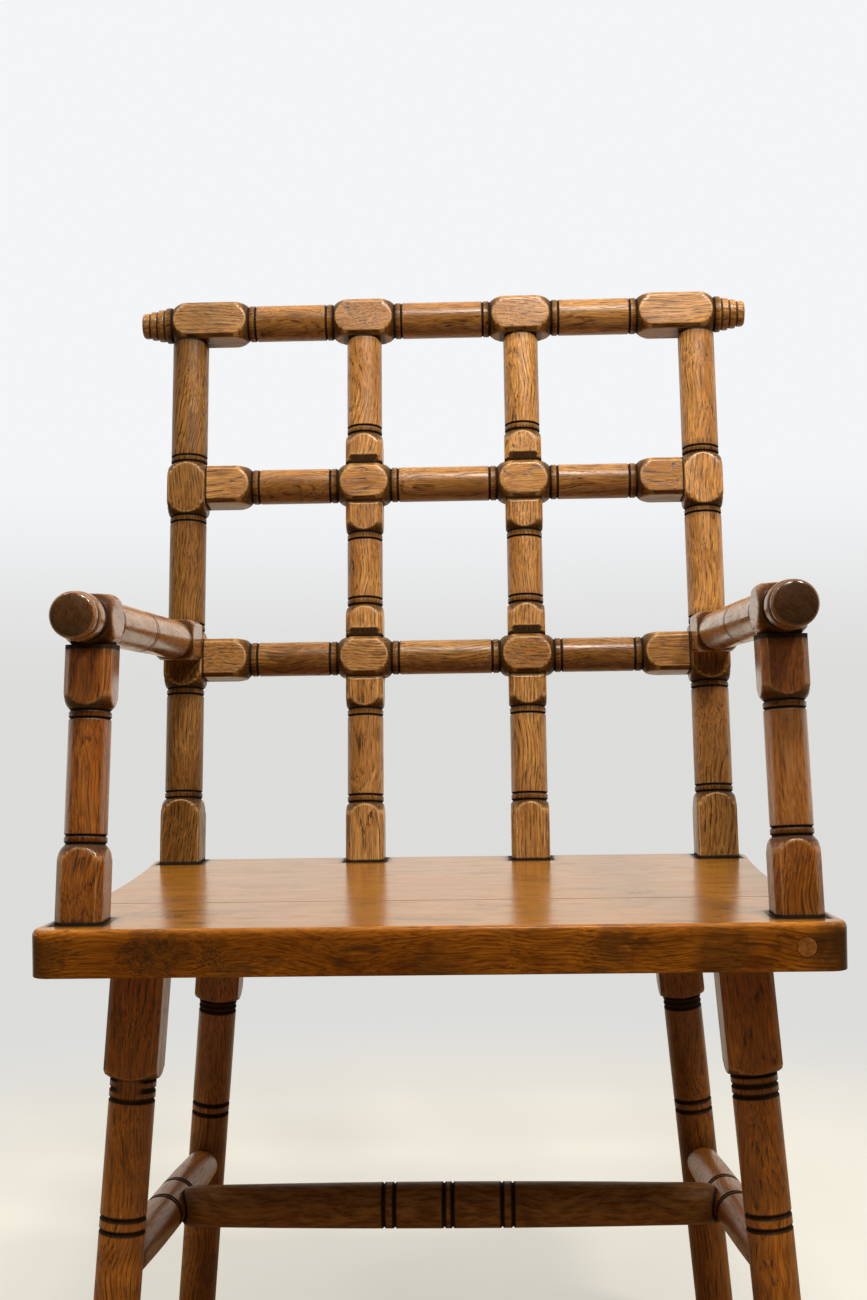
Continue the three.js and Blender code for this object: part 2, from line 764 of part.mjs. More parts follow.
// Seat and back rails
const backBoard = seatBoard('seat_back_board', false);
const frontBoard = seatBoard('seat_front_board', true);
seatFrontPlug(frontBoard);
const crest = crestRail();
const middleRail = latticeRail('middle_rail', middleRailRise, middleRailRadius);
const lowerRail = latticeRail('lower_rail', lowerRailRise, lowerRailRadius);
const cross = crossStretcher();

// One side of the back: the post, with the rails that end in it, and the three short uprights.
function backSide(side, sign) {
  const right = sign * postHalfSpacing;
  const post = backPost(`${side}_back_post`, right);
  tenonJoint(post, backBoard, backPoint(right, 0, 0), backUp.clone().negate(), postTenonRadius, postTenonDepth);
  const crestFace = backPoint(right, 0, crestRise - stockHalf);
  tenonJoint(post, crest, crestFace, backUp, postTenonRadius, postTenonDepth);
  const outward = acrossChair.clone().multiplyScalar(sign);
  for (const [rail, rise] of [[middleRail, middleRailRise], [lowerRail, lowerRailRise]]) {
    const face = backPoint(sign * (postHalfSpacing - stockHalf), 0, rise);
    tenonJoint(rail, post, face, outward, railTenonRadius, railTenonDepth);
  }

  const place = sign * uprightHalfSpacing;
  const runs = [
    ['lower', backBoard, 0, lowerRail, lowerRailRise, uprightFootBlockLength, uprightBlockLength],
    ['middle', lowerRail, lowerRailRise, middleRail, middleRailRise, uprightBlockLength, uprightBlockLength],
    ['upper', middleRail, middleRailRise, crest, crestRise, uprightBlockLength, 0],
  ];
  for (const [level, below, belowRise, above, aboveRise, footBlock, headBlock] of runs) {
    const onSeat = below === backBoard;
    const bottom = onSeat ? 0 : belowRise + stockHalf;
    const top = aboveRise - stockHalf;
    const footBevel = onSeat ? 0 : uprightFootBevelLength;
    const headBevel = headBlock > 0 ? uprightHeadBevelLength : 0;
    const name = `${side}_${level}_upright`;
    const upright = shortUpright(name, place, bottom, top, footBlock, headBlock, footBevel, headBevel);
    if (onSeat) {
      const seatTop = new THREE.Vector3(place, postSetback, seatHeight + fitGap);
      trim(upright, seatTop, upward.clone().negate(), acrossChair);
    }
    const depth = uprightTenonDepth;
    tenonJoint(upright, below, backPoint(place, 0, bottom), backUp.clone().negate(), uprightTenonRadius, depth);
    tenonJoint(upright, above, backPoint(place, 0, top), backUp, uprightTenonRadius, depth);
  }
  return post;
}

// One arm with its support, joined to the post and the seat.
function armSide(side, sign, post) {
  const line = armLine(sign);
  const support = supportLine(sign);
  const armPiece = arm(`${side}_arm`, sign);
  const supportPiece = armSupport(`${side}_arm_support`, sign);
  const downSupport = support.direction.clone().negate();
  tenonJoint(armPiece, post, line.rear, line.direction.clone().negate(), armTenonRadius, armTenonDepth);
  tenonJoint(supportPiece, armPiece, support.head, support.direction, supportTenonRadius, supportTenonDepth);
  tenonJoint(supportPiece, frontBoard, support.foot, downSupport, supportTenonRadius, supportTenonDepth);
}

// One side of the base: two legs, the stretcher between them and the end of the cross stretcher.
function baseSide(side, sign) {
  const stretcherPiece = sideStretcher(`${side}_side_stretcher`, sign);
  const along = sideLine(sign);
  const parts = [
    ['front', frontLeg, frontBoard, along.end, along.direction],
    ['back', backLeg, backBoard, along.start, along.direction.clone().negate()],
  ];
  for (const [place, sizes, board, centre, towardsLeg] of parts) {
    const legPiece = leg(`${side}_${place}_leg`, sizes, sign);
    const line = legLine(sizes, sign);
    tenonJoint(legPiece, board, line.head, line.direction.clone().negate(), legTenonRadius, legTenonDepth);
    const face = centre.clone().addScaledVector(towardsLeg, -sizes.radius);
    tenonJoint(stretcherPiece, legPiece, face, towardsLeg, stretcherTenonRadius, stretcherTenonDepth);
  }
  const outward = acrossChair.clone().multiplyScalar(sign);
  const meeting = along.start.clone().lerp(along.end, crossStretcherShare);
  const crossFace = meeting.addScaledVector(outward, -sideStretcherMiddleRadius);
  tenonJoint(cross, stretcherPiece, crossFace, outward, stretcherTenonRadius, stretcherTenonDepth);
}

for (const [side, sign] of [['left', -1], ['right', 1]]) {
  const post = backSide(side, sign);
  armSide(side, sign, post);
  baseSide(side, sign);
}

// The finished meshes, each in its group.
for (const piece of pieces) {
  const material = new THREE.MeshStandardMaterial({ ...piece.oak, metalness: 0 });
  const mesh = new THREE.Mesh(geometryFrom(piece.solid), material);
  mesh.name = piece.name;
  mesh.applyMatrix4(piece.placing);
  piece.group.add(mesh);
}

// The front edge of the seat and the back of the crest rail are the chair's limits from front to back.
const crestBack = crestRise * Math.sin(rake) + stockHalf * Math.cos(rake);
const crestCorner = (stockHalf - stockChamfer) * Math.sin(rake);
const overallDepth = postSetback + crestBack + crestCorner;

const chair = new THREE.Group();
chair.position.set(0, -overallDepth / 2, 0);
chair.add(seatGroup, backGroup, armGroup, legGroup);

export default chair;
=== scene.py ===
"""A captains chair in waxed oak: turned and squared members, a two-board seat and a lattice back."""
import math
import random

import bpy
import numpy as np
from mathutils import Matrix, Vector
from mathutils.geometry import tessellate_polygon


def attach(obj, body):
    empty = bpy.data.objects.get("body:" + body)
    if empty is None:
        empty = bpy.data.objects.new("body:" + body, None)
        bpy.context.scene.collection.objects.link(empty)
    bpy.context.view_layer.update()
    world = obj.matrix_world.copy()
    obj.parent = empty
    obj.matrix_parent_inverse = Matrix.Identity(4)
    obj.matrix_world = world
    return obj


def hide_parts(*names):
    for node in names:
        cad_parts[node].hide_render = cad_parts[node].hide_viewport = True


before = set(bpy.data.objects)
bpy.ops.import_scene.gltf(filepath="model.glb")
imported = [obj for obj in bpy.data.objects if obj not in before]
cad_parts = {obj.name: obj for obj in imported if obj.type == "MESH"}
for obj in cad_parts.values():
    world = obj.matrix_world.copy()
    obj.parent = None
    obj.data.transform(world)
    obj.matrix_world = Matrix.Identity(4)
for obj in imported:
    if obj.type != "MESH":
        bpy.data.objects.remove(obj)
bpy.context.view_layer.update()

rng = random.Random(1907)

# Lengths are in millimetres, with the seat's front edge at y = 0, and become metres in the meshes.
MM = 0.001
FIT_GAP = 0.3

# Mesh fineness
FINE_STEP = 0.5
COARSE_STEP = 6.0
GUARD_STEP = 0.3
LEAST_STEP = 0.05
BEVEL_STEP = 0.4
SEAT_STEP = 7.0
LEAST_SEAT_STEP = 0.08
SLOPING = 0.15
END_ZONE = 20.0
PAST_END = 40.0
ROUND_COLUMNS = 60
HOLE_COLUMNS = 48
FACE_COLUMNS = 9
CHAMFER_STEPS = 2.2
SHARP_DEGREES = 48

# Softened corners, and how far wear spreads from them
SOFT_ARRIS = 0.7
SOFT_ARCH = 0.7
SOFT_BEVEL = 0.5
LIP_SOFTENING = 0.35
ARRIS_WEAR = 0.45
ARCH_WEAR = 0.6
BEVEL_WEAR = 0.5

# Where the surface is darker or paler, from 0 to 1, and the lengths over which it fades: partly the old
# finish's own tone and wear, partly painted shade and sheen
# the left post is darker overall, partly its own tone and partly painted shade
LEFT_POST_DIM = 0.66
# painted shade on the rails' lower sides, as if lit from above
RAIL_UNDERSIDE_SHADE = 0.55
# painted shade on the rails' downward-facing lower chamfers
LOWER_CHAMFER_SHADE = 0.85
RAIL_BLOCK_DIM = 0.16
# painted contact shade on a rail's faces round the posts and uprights that enter it
SOCKET_REACH = 24.0
SOCKET_FADE = 4.0
SOCKET_SHADE = 0.9
# painted shade on the uprights' downward-facing foot bevels
FOOT_BEVEL_SHADE = 0.92
ARM_RUB = 0.55
# painted sheen: the right support's shaft is painted paler
RIGHT_SUPPORT_SHEEN = 0.45
SEAT_WALL_DIM = 0.4
LINE_STEEPNESS = 1.8
PATCH_STEEPNESS = 1.2
# painted contact shadow where pieces touch
CONTACT_WIDTH = 2.0

# The lie of the grain in the tree that each piece came from
GRAIN_TILT = 0.035
PITH_NEAR, PITH_FAR = 35, 95
PITH_SHIFT = 600
SEAT_PITH = (500, 40, -150)
SEAT_TILTS = (0.04, 0.03)
RING_WIDTH = 3.1

# Squared stock and the turner's details
STOCK = 38.0
STOCK_CHAMFER = 4.0
SHAFT_RADIUS = 18.0
GROOVE_WIDTH = 2.2
GROOVE_DEPTH = 1.6
GROOVE_WAX = 0.8
BALL_MARGIN = 1.2
BALL_STRETCH = 1.1
BALL_SHARES = (0.0, 0.12, 0.27, 0.45, 0.65, 0.84, 1.0)
TIP_ROUNDING = 2.5

# Seat
SEAT_HEIGHT = 440.0
SEAT_THICKNESS = 35.0
SEAT_DEPTH = 430.0
SEAT_FRONT_HALF = 295.5
SEAT_WAIST_HALF = 281.0
SEAT_WAIST_SETBACK = 190.0
SEAT_BACK_HALF = 287.0
FRONT_CORNER = 14.0
BACK_CORNER = 16.0
SEAT_ARRIS = 4.0
LOWER_ARRIS = 0.8
SEAM_ARRIS = 0.7
SEAM_SETBACK = 132.0
PLUG_RADIUS = 7.1
PLUG_DROP = 17.5
PLUG_LENGTH = 25.0
PLUG_PATCH = 9.5
SHAKE_PLACE = 139.5

# Where the seat's grid has extra lines
NEAR_EDGE = (0.12, 0.5, 1.1, 1.9, 2.9, 4.0, 5.5, 9.0, 14.0)
NEAR_SEAM = (0.3, 0.6, 1.0, 2.0)
NEAR_FOOT = (-0.5, 0.5, 1.4, 2.6, 4.5, 7.5)
NEAR_SHAKE = (-0.8, -0.3, 0, 0.3, 0.8)
CORNER_SHARES = (0.02, 0.07, 0.16, 0.28, 0.42, 0.58, 0.75, 0.9)

# Back, with rises measured up its raked plane
RAKE = math.radians(10)
POST_SETBACK = 406.0
POST_SPACING = 255.5
UPRIGHT_SPACING = POST_SPACING * 0.309
CREST_RISE = 543.7
MIDDLE_RISE = 371.5
LOWER_RISE = 196.5

# Posts
POST_FOOT_BLOCK = 60.8
POST_LOWER_BLOCK = 29.0
POST_MIDDLE_BLOCK = 27.75
POST_MIDDLE_DROP = 3.1

# Short uprights: level, foot and head, foot and head blocks, foot and head bevels, darkening
BEVEL_DEPTH = 4.0
UPRIGHTS = (("lower", 0, LOWER_RISE - STOCK / 2, 54.8, 32.3, 0, 4.2, 0.28),
            ("middle", LOWER_RISE + STOCK / 2, MIDDLE_RISE - STOCK / 2, 32.3, 32.3, 8.5, 4.2, 0.1),
            ("upper", MIDDLE_RISE + STOCK / 2, CREST_RISE - STOCK / 2, 32.3, 0, 8.5, 0, 0.0))

# Rails
CREST_HALF = 304.0
FINIAL_LENGTH = 30.6
FINIAL_RINGS = 4
RING_STEP = 1.7
CREST_END_BLOCK = 77.7
CREST_CROSS_BLOCK = 31.0
RAIL_PITCH = 7.0
RAIL_CROSS_BLOCK = 26.5
RAIL_END_BLOCK = 45.8
FLAT_CAP = ((0, 0.8, 0.15), (0, 0.4, 0.1))

# Arms and their supports. The knob's outline has distances back from its tip, and radii.
ARM_RISE = 212.0
ARM_TIP_RISE = 227.4
ARM_TIP_SPACING = 261.0
ARM_TIP_SETBACK = 5.0
ARM_REAR_BLOCK = 49.0
ARM_FRONT_BLOCK = (25.0, 20.0)
ARM_GROOVES = (197.0, 203.0)
NECK_RADIUS = 15.8
KNOB = ((32.2, NECK_RADIUS), (30, 17.6), (27, 18.45), (21.25, 18.6), (15.5, 18.45), (13.7, 17.9),
        (12.5, 16.2), (10.3, 17.5), (6.0, 17.7), (4.2, 17.2), (3.0, 16.2))
DOME_RISE = 3.0
KNOB_DOME = ((0.25, 0.95), (0.5, 0.82), (0.75, 0.62), (0.9, 0.42), (1.0, 0.2))
SUPPORT_SPACING = 263.5
SUPPORT_FOOT_SETBACK = 38.0
SUPPORT_HEAD_SETBACK = 70.0
SUPPORT_FOOT_BLOCK = 57.6
SUPPORT_HEAD_BLOCK = 51.1

# The middles and half sizes of the prints that the back and the supports leave on the seat
FEET = [(sign * x, y, half_x, half_y) for sign in (-1, 1) for x, y, half_x, half_y in (
    (POST_SPACING, POST_SETBACK, 19.0, 19.6), (UPRIGHT_SPACING, POST_SETBACK, 18.2, 18.6),
    (SUPPORT_SPACING, SUPPORT_FOOT_SETBACK, 18.0, 18.3))]

# Legs and stretchers. Collars and pitches space a leg's grooves, and dims darken the left and right leg.
FRONT_LEG = dict(stock=41.0, radius=17.75, spacing=229.9, setback=89.8, splay=0.0805, rake=-0.046,
                 block=91.8, collar=7.9, inset=30.8, pitch=10.2, dims=(0.0, 0.0))
BACK_LEG = dict(stock=40.0, radius=17.0, spacing=205.0, setback=338.8, splay=0.1, rake=0.1,
                block=84.5, collar=4.7, inset=47.5, pitch=9.2, dims=(0.15, 0.36))
LEG_CHAMFER = 4.0
LEG_GROOVE_WIDTH = 3.0
LEG_WAX = 1.05
LEG_SHOULDER = 15.0
LEG_SHARES = (0, 0.05, 0.2, 0.45, 0.75, 1.0)
RUBBED_LEG = "left_front_leg"
RUBBED_SPREAD = 0.45
RUBBED_FULL = 1.6
STRETCHER_HEIGHT = 168.0
STRETCHER_WAX = 1.3
NOSE_RUN = 10.0
NOSE_CORE = 8.0
NOSE_SHARES = (0, 0.12, 0.3, 0.55, 0.8, 1.0)
SIDE_RADII = (13.5, 16.8)
SIDE_GROOVES = (-25.1, -20.5, 20.5, 25.1)
CROSS_SHARE = 0.48
CROSS_RADII = (16.5, 19.0)
CROSS_GROOVES = (-54.6, -45.4, -3.6, 3.6, 45.4, 54.6)

# Colours of the old finish, also used for painted shade, and of the room
WAX_AND_SHADE_TONE = (0.020, 0.012, 0.007)
# darkens the old finish, and also paints the shade under the rails, round joints and under the arms
GLAZE_AND_SHADE_TONE = (0.20, 0.175, 0.12)
KNOT_TONE = (0.056, 0.024, 0.007)
END_GRAIN = ((0.055, 0.036, 0.021), (0.030, 0.018, 0.010))
WALL_LOW = (0.72, 0.72, 0.71)
WALL_HIGH = (0.90, 0.91, 0.93)
WARM_WALL = (1.0, 0.93, 0.81)
WARM_WALL_LOW = (0.78, 0.69, 0.54)
FLOOR_TONES = ((0.80, 0.78, 0.70), (0.85, 0.83, 0.75))
FLOOR_GLOW = (0.80, 0.77, 0.69)
FLOOR_GLOW_SHARE = 0.6
FLOOR_BOUNCE = (0.38, 0.27, 0.14)
ROOM_LOW = (0.02, 0.02, 0.025)
ROOM_CEILING = (0.22, 0.21, 0.20)
AMBIENT_LOW = (0.05, 0.048, 0.045)
AMBIENT_BACK = (0.50, 0.48, 0.45)
AMBIENT_HIGH = (1.0, 0.97, 0.92)

# Floor and lamps, in metres and watts
FLOOR_RADIUS = 6
FLOOR_SIDES = 64
LAMPS = (("key", (0.15, -0.85, 2.2), 30), ("right", (0.95, -0.75, 2.2), 23), ("left", (-1.1, -0.4, 2.3), 7))
LAMP_TARGET = (0, 0, 0.5)
LAMP_SIZE = 0.3
LAMP_COLOUR = (1.0, 0.94, 0.85)

# Camera, with its place in millimetres and its turns in radians
CAMERA_PLACE = (37.63, -1195.43, 630.07)
CAMERA_YAW = 0.0304
CAMERA_PITCH = 0.0063
CAMERA_ROLL = -0.0155
FOCAL_PIXELS = 1672.05
IMAGE_LONG_SIDE = 1300
SENSOR_WIDTH = 36.0

CREST_BACK = CREST_RISE * math.sin(RAKE) + STOCK / 2 * math.cos(RAKE)
OVERALL_DEPTH = POST_SETBACK + CREST_BACK + (STOCK / 2 - STOCK_CHAMFER) * math.sin(RAKE)

ACROSS = Vector((1, 0, 0))
UP = Vector((0, 0, 1))
BACK_UP = Vector((0, math.sin(RAKE), math.cos(RAKE)))
BACK_AHEAD = Vector((0, -math.cos(RAKE), math.sin(RAKE)))


def back_point(right, ahead, rise):
    """A point of the raked back: to the right, in front of its plane and up its slope."""
    return Vector((right, POST_SETBACK, SEAT_HEIGHT)) + BACK_AHEAD * ahead + BACK_UP * rise


def fraction(value, full=1.0):
    """A value as a share of its full size, kept from 0 to 1."""
    return np.clip(value / full, 0, 1)


def bell(distance, width):
    """A soft line: 1 at no distance, fading over a width."""
    return np.exp(-(distance / width) ** 2)


def smooth_min(a, b, blend):
    """The lesser of two values, with the corner between them softened."""
    share = fraction(0.5 + 0.5 * (b - a) / blend)
    return b + (a - b) * share - blend * share * (1.0 - share)


def quarter_round(inside, radius):
    """How far a rounded edge falls back at each distance inside it."""
    return np.where(inside < radius, radius - np.sqrt(np.maximum(radius ** 2 - (radius - inside) ** 2, 0)), 0)


def around(count):
    """Each step round a closed ring, with the step after it."""
    return [(k, (k + 1) % count) for k in range(count)]


class Stock:
    """A square bar with chamfered long edges."""

    def __init__(self, width, chamfer):
        self.half = width / 2
        self.chamfer = chamfer
        self.reach = math.hypot(self.half, self.half - chamfer)
        self.blank = self.reach / math.cos(math.pi / 12) + GROOVE_DEPTH / 2

    def angles(self):
        """Directions round the bar, closest together at its arrises."""
        flat = math.atan2(self.half - self.chamfer, self.half)
        step = min(FINE_STEP / self.reach, (math.pi / 4 - flat) / CHAMFER_STEPS)
        near = [flat + step * k for k in (-2, -1, 0, 1, 2)]
        inner = list(np.linspace(-near[0], near[0], FACE_COLUMNS + 2)[1:-1])
        quarter = sorted([-a for a in near] + inner + near + [math.pi / 4])
        return np.array([a + math.pi / 2 * k for k in range(4) for a in quarter])

    def radius(self, angles):
        """The bar's reach in each direction, and how near each direction is to an arris."""
        folded = np.abs((angles + math.pi / 4) % (math.pi / 2) - math.pi / 4)
        face = self.half / np.cos(folded)
        corner = (2 * self.half - self.chamfer) / math.sqrt(2) / np.cos(folded - math.pi / 4)
        return smooth_min(face, corner, min(SOFT_ARRIS, self.chamfer / 2)), bell(face - corner, ARRIS_WEAR)


class Turning:
    """A turned outline: its radius stations, and the lines where wax and dirt have gathered.

    Each line has a centre, a half width and a strength. Grooves hold black wax, contacts are painted
    contact shadow, black where pieces touch, and dims and patches are brown, but only patches reach
    the flats. Some patches are painted shadow under the pieces above. The stretches listed as fine
    get close rows.
    """

    def __init__(self, shaft=0.0, stock=None, pitch=0.0):
        self.shaft = shaft
        self.stock = stock
        self.pitch = pitch
        self.stations = []
        self.fine = []
        self.lines = {"groove": [], "contact": [], "dim": [], "patch": []}

    def at(self, distance, radius):
        self.stations.append((distance, radius))
        return self

    def mark(self, kind, distance, width, strength=1.0):
        self.lines[kind].append((distance, width, strength))
        return self

    def uncut(self, distance):
        """The squared stock is whole here."""
        return self.at(distance, self.stock.blank)

    def tip(self, end):
        """The slightly rounded end of a shaft."""
        return self.at(end - TIP_ROUNDING, self.shaft).at(end, self.shaft - TIP_ROUNDING / 2)

    def groove(self, centre, radius=None, width=GROOVE_WIDTH, wax=GROOVE_WAX):
        radius = radius or self.shaft
        self.at(centre - width / 2, radius).at(centre, radius - GROOVE_DEPTH).at(centre + width / 2, radius)
        return self.mark("groove", centre, width * wax)

    def shoulder(self, root, heading, radius=None):
        """A shoulder turned like a ball, which leaves round arches on the flats of the stock."""
        ball = self.stock.reach + BALL_MARGIN
        low, high = (radius or self.shaft) - GROOVE_DEPTH, ball - BALL_MARGIN / 3
        for share in BALL_SHARES:
            turned = low + (high - low) * share
            rise = BALL_STRETCH * (math.sqrt(ball ** 2 - low ** 2) - math.sqrt(ball ** 2 - turned ** 2))
            self.at(root + heading * rise, turned)
        self.mark("groove", root, GROOVE_WIDTH * GROOVE_WAX)
        return self.mark("dim", root + heading * rise * 0.1, rise * 0.85, 0.95)

    def block_end(self, root, heading):
        """The shoulder of a block, and beside it a bead between two grooves."""
        self.shoulder(root, heading).at(root - heading * GROOVE_WIDTH / 2, self.shaft)
        self.mark("dim", root - heading * self.pitch / 2, self.pitch * 0.8, 0.45)
        return self.groove(root - heading * self.pitch)

    def block(self, centre, half):
        return self.block_end(centre - half, 1).block_end(centre + half, -1)

    def swell(self, start, run, low, high, shares):
        """A quarter of an ellipse, from one radius to another."""
        for share in shares:
            self.at(start + run * share, low + (high - low) * math.sqrt(share * (2 - share)))
        return self

    def radius_at(self, rows, softening=LIP_SOFTENING):
        """The turned radius at each distance, with its lips and roots a little rounded."""
        places, values = np.array(sorted(self.stations)).T
        offsets = np.linspace(-softening, softening, 5 if softening else 1)
        return np.mean([np.interp(rows + offset, places, values) for offset in offsets], axis=0)

    def rows(self, start, end):
        """Distances along the member, close together where its radius changes."""
        marks = {start, end} | {distance for distance, _ in self.stations}
        for centre, width, _ in self.lines["groove"] + self.lines["contact"]:
            marks |= {centre + width * k for k in (-1, -0.5, 0, 0.5, 1)}
        for low, high in self.fine:
            marks |= set(np.arange(low, high, BEVEL_STEP))
        marks = sorted(d for d in marks if start <= d <= end)
        marks = [d for d, after in zip(marks, marks[1:] + [math.inf]) if after - d > LEAST_STEP]
        changes = np.abs(np.diff(self.radius_at(np.array(marks), 0)))
        found = [start]
        for near, far, change in zip(marks, marks[1:], changes):
            span = far - near
            if change > SLOPING or span < 4 * GUARD_STEP:
                count = max(1, math.ceil(span / FINE_STEP))
                found += [near + span * k / count for k in range(1, count + 1)]
                continue
            inner = span - 2 * GUARD_STEP
            count = max(1, math.ceil(inner / COARSE_STEP))
            found += [near + GUARD_STEP + inner * k / count for k in range(count + 1)] + [far]
        return np.array(found)

    def both_ways(self):
        """A rail's outline, from its right half."""
        whole = Turning(self.shaft, self.stock, self.pitch)
        whole.stations = self.stations + [(-d, r) for d, r in self.stations]
        for kind, lines in self.lines.items():
            whole.lines[kind] = lines + [(-d, w, s) for d, w, s in lines]
        return whole


def darkness(rows, lines, steepness=LINE_STEEPNESS):
    """How dark a set of lines leaves each row: full at a line's centre, and none past its width."""
    found = np.zeros_like(rows)
    for centre, width, strength in lines:
        near = fraction(steepness * (1 - np.abs(rows - centre) / width))
        found = np.maximum(found, strength * near * near * (3 - 2 * near))
    return found[:, None]


def grain_frame():
    """The place and lean of the tree's pith beside a piece, so that its rings cross the piece."""
    angle = rng.uniform(0, 2 * math.pi)
    distance = rng.uniform(PITH_NEAR, PITH_FAR)
    tilts = [Matrix.Rotation(rng.uniform(-GRAIN_TILT, GRAIN_TILT), 4, axis) for axis in "YZ"]
    along = rng.uniform(-PITH_SHIFT, PITH_SHIFT)
    place = Matrix.Translation((along, distance * math.cos(angle), distance * math.sin(angle)))
    return place @ tilts[0] @ tilts[1]


def add_object(name, data):
    made = bpy.data.objects.new(name, data)
    bpy.context.scene.collection.objects.link(made)
    return made


def make_piece(node, slot, points, faces, marks, placing, grain):
    """Builds a piece in place of its node, and keeps each point's place in the tree that it came from."""
    placing, pith, to_tree = (np.array(matrix) for matrix in (placing, grain, grain.inverted()))
    placed = (points @ placing[:3, :3].T + placing[:3, 3] - (0, OVERALL_DEPTH / 2, 0)) * MM
    in_tree = points @ to_tree[:3, :3].T + to_tree[:3, 3]
    mesh = bpy.data.meshes.new(node + "_wood")
    mesh.from_pydata(placed.tolist(), [], faces)
    mesh.shade_smooth()
    mesh.set_sharp_from_angle(angle=math.radians(SHARP_DEGREES))
    normals = np.zeros(len(points) * 3, np.float32)
    mesh.vertex_normals.foreach_get("vector", normals)
    marks = dict(marks, end=np.abs(normals.reshape(-1, 3) @ (placing[:3, :3] @ pith[:3, 0])))
    for mark, values in marks.items():
        mesh.attributes.new(mark, "FLOAT", "POINT").data.foreach_set("value", np.asarray(values, np.float32))
    tree = mesh.attributes.new("tree", "FLOAT_VECTOR", "POINT")
    tree.data.foreach_set("vector", in_tree.astype(np.float32).ravel())
    mesh.materials.append(materials[slot])
    piece = add_object(node + "_wood", mesh)
    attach(piece, "root")
    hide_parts(node)


def axis_frame(start, direction, side):
    """A frame at a point, with X along a direction and Y towards a side."""
    along = direction.normalized()
    across = (side - along * side.dot(along)).normalized()
    found = Matrix((along, across, along.cross(across))).transposed().to_4x4()
    found.translation = start
    return found


def flat_end(point, normal):
    """How far along a member each of its points at one end lies on a flat plane."""
    def reach(placing, directions, radii, nominal):
        offsets = directions @ np.array(normal) * radii
        return (normal.dot(point - placing.translation) - offsets) / normal.dot(placing.col[0].to_3d())
    return reach


def seat_end(x, y):
    return flat_end(Vector((x, y, SEAT_HEIGHT + FIT_GAP)), UP)


def coped_end(axis_point, axis_direction, radius):
    """How far along a member each of its points at one end meets a round member."""
    axis = np.array(axis_direction.normalized())

    def reach(placing, directions, radii, nominal):
        along = np.array(placing.col[0].to_3d())
        sides = directions * radii[:, None] + np.array(placing.translation - axis_point)
        side_part = sides - np.outer(sides @ axis, axis)
        along_part = along - along.dot(axis) * axis
        a = along_part.dot(along_part)
        b = side_part @ along_part
        c = (side_part ** 2).sum(1) - radius ** 2
        root = np.sqrt(np.maximum(b * b - a * c, 0))
        ways = np.stack([(-b - root) / a, (-b + root) / a])
        return ways[np.abs(ways - nominal).argmin(0), np.arange(len(radii))]
    return reach


def rubbed_share(rows, angles, placing, centre, reach):
    """How far rubbing has filled the grooves near a place, on the side that faces the front."""
    front = placing.to_3x3().inverted() @ Vector((0, -1, 0))
    away = np.angle(np.exp(1j * (angles - math.atan2(front.z, front.y))))
    near = fraction(RUBBED_FULL - np.abs(rows - centre) / reach)[:, None]
    return near * fraction(RUBBED_FULL - np.abs(away) / RUBBED_SPREAD)


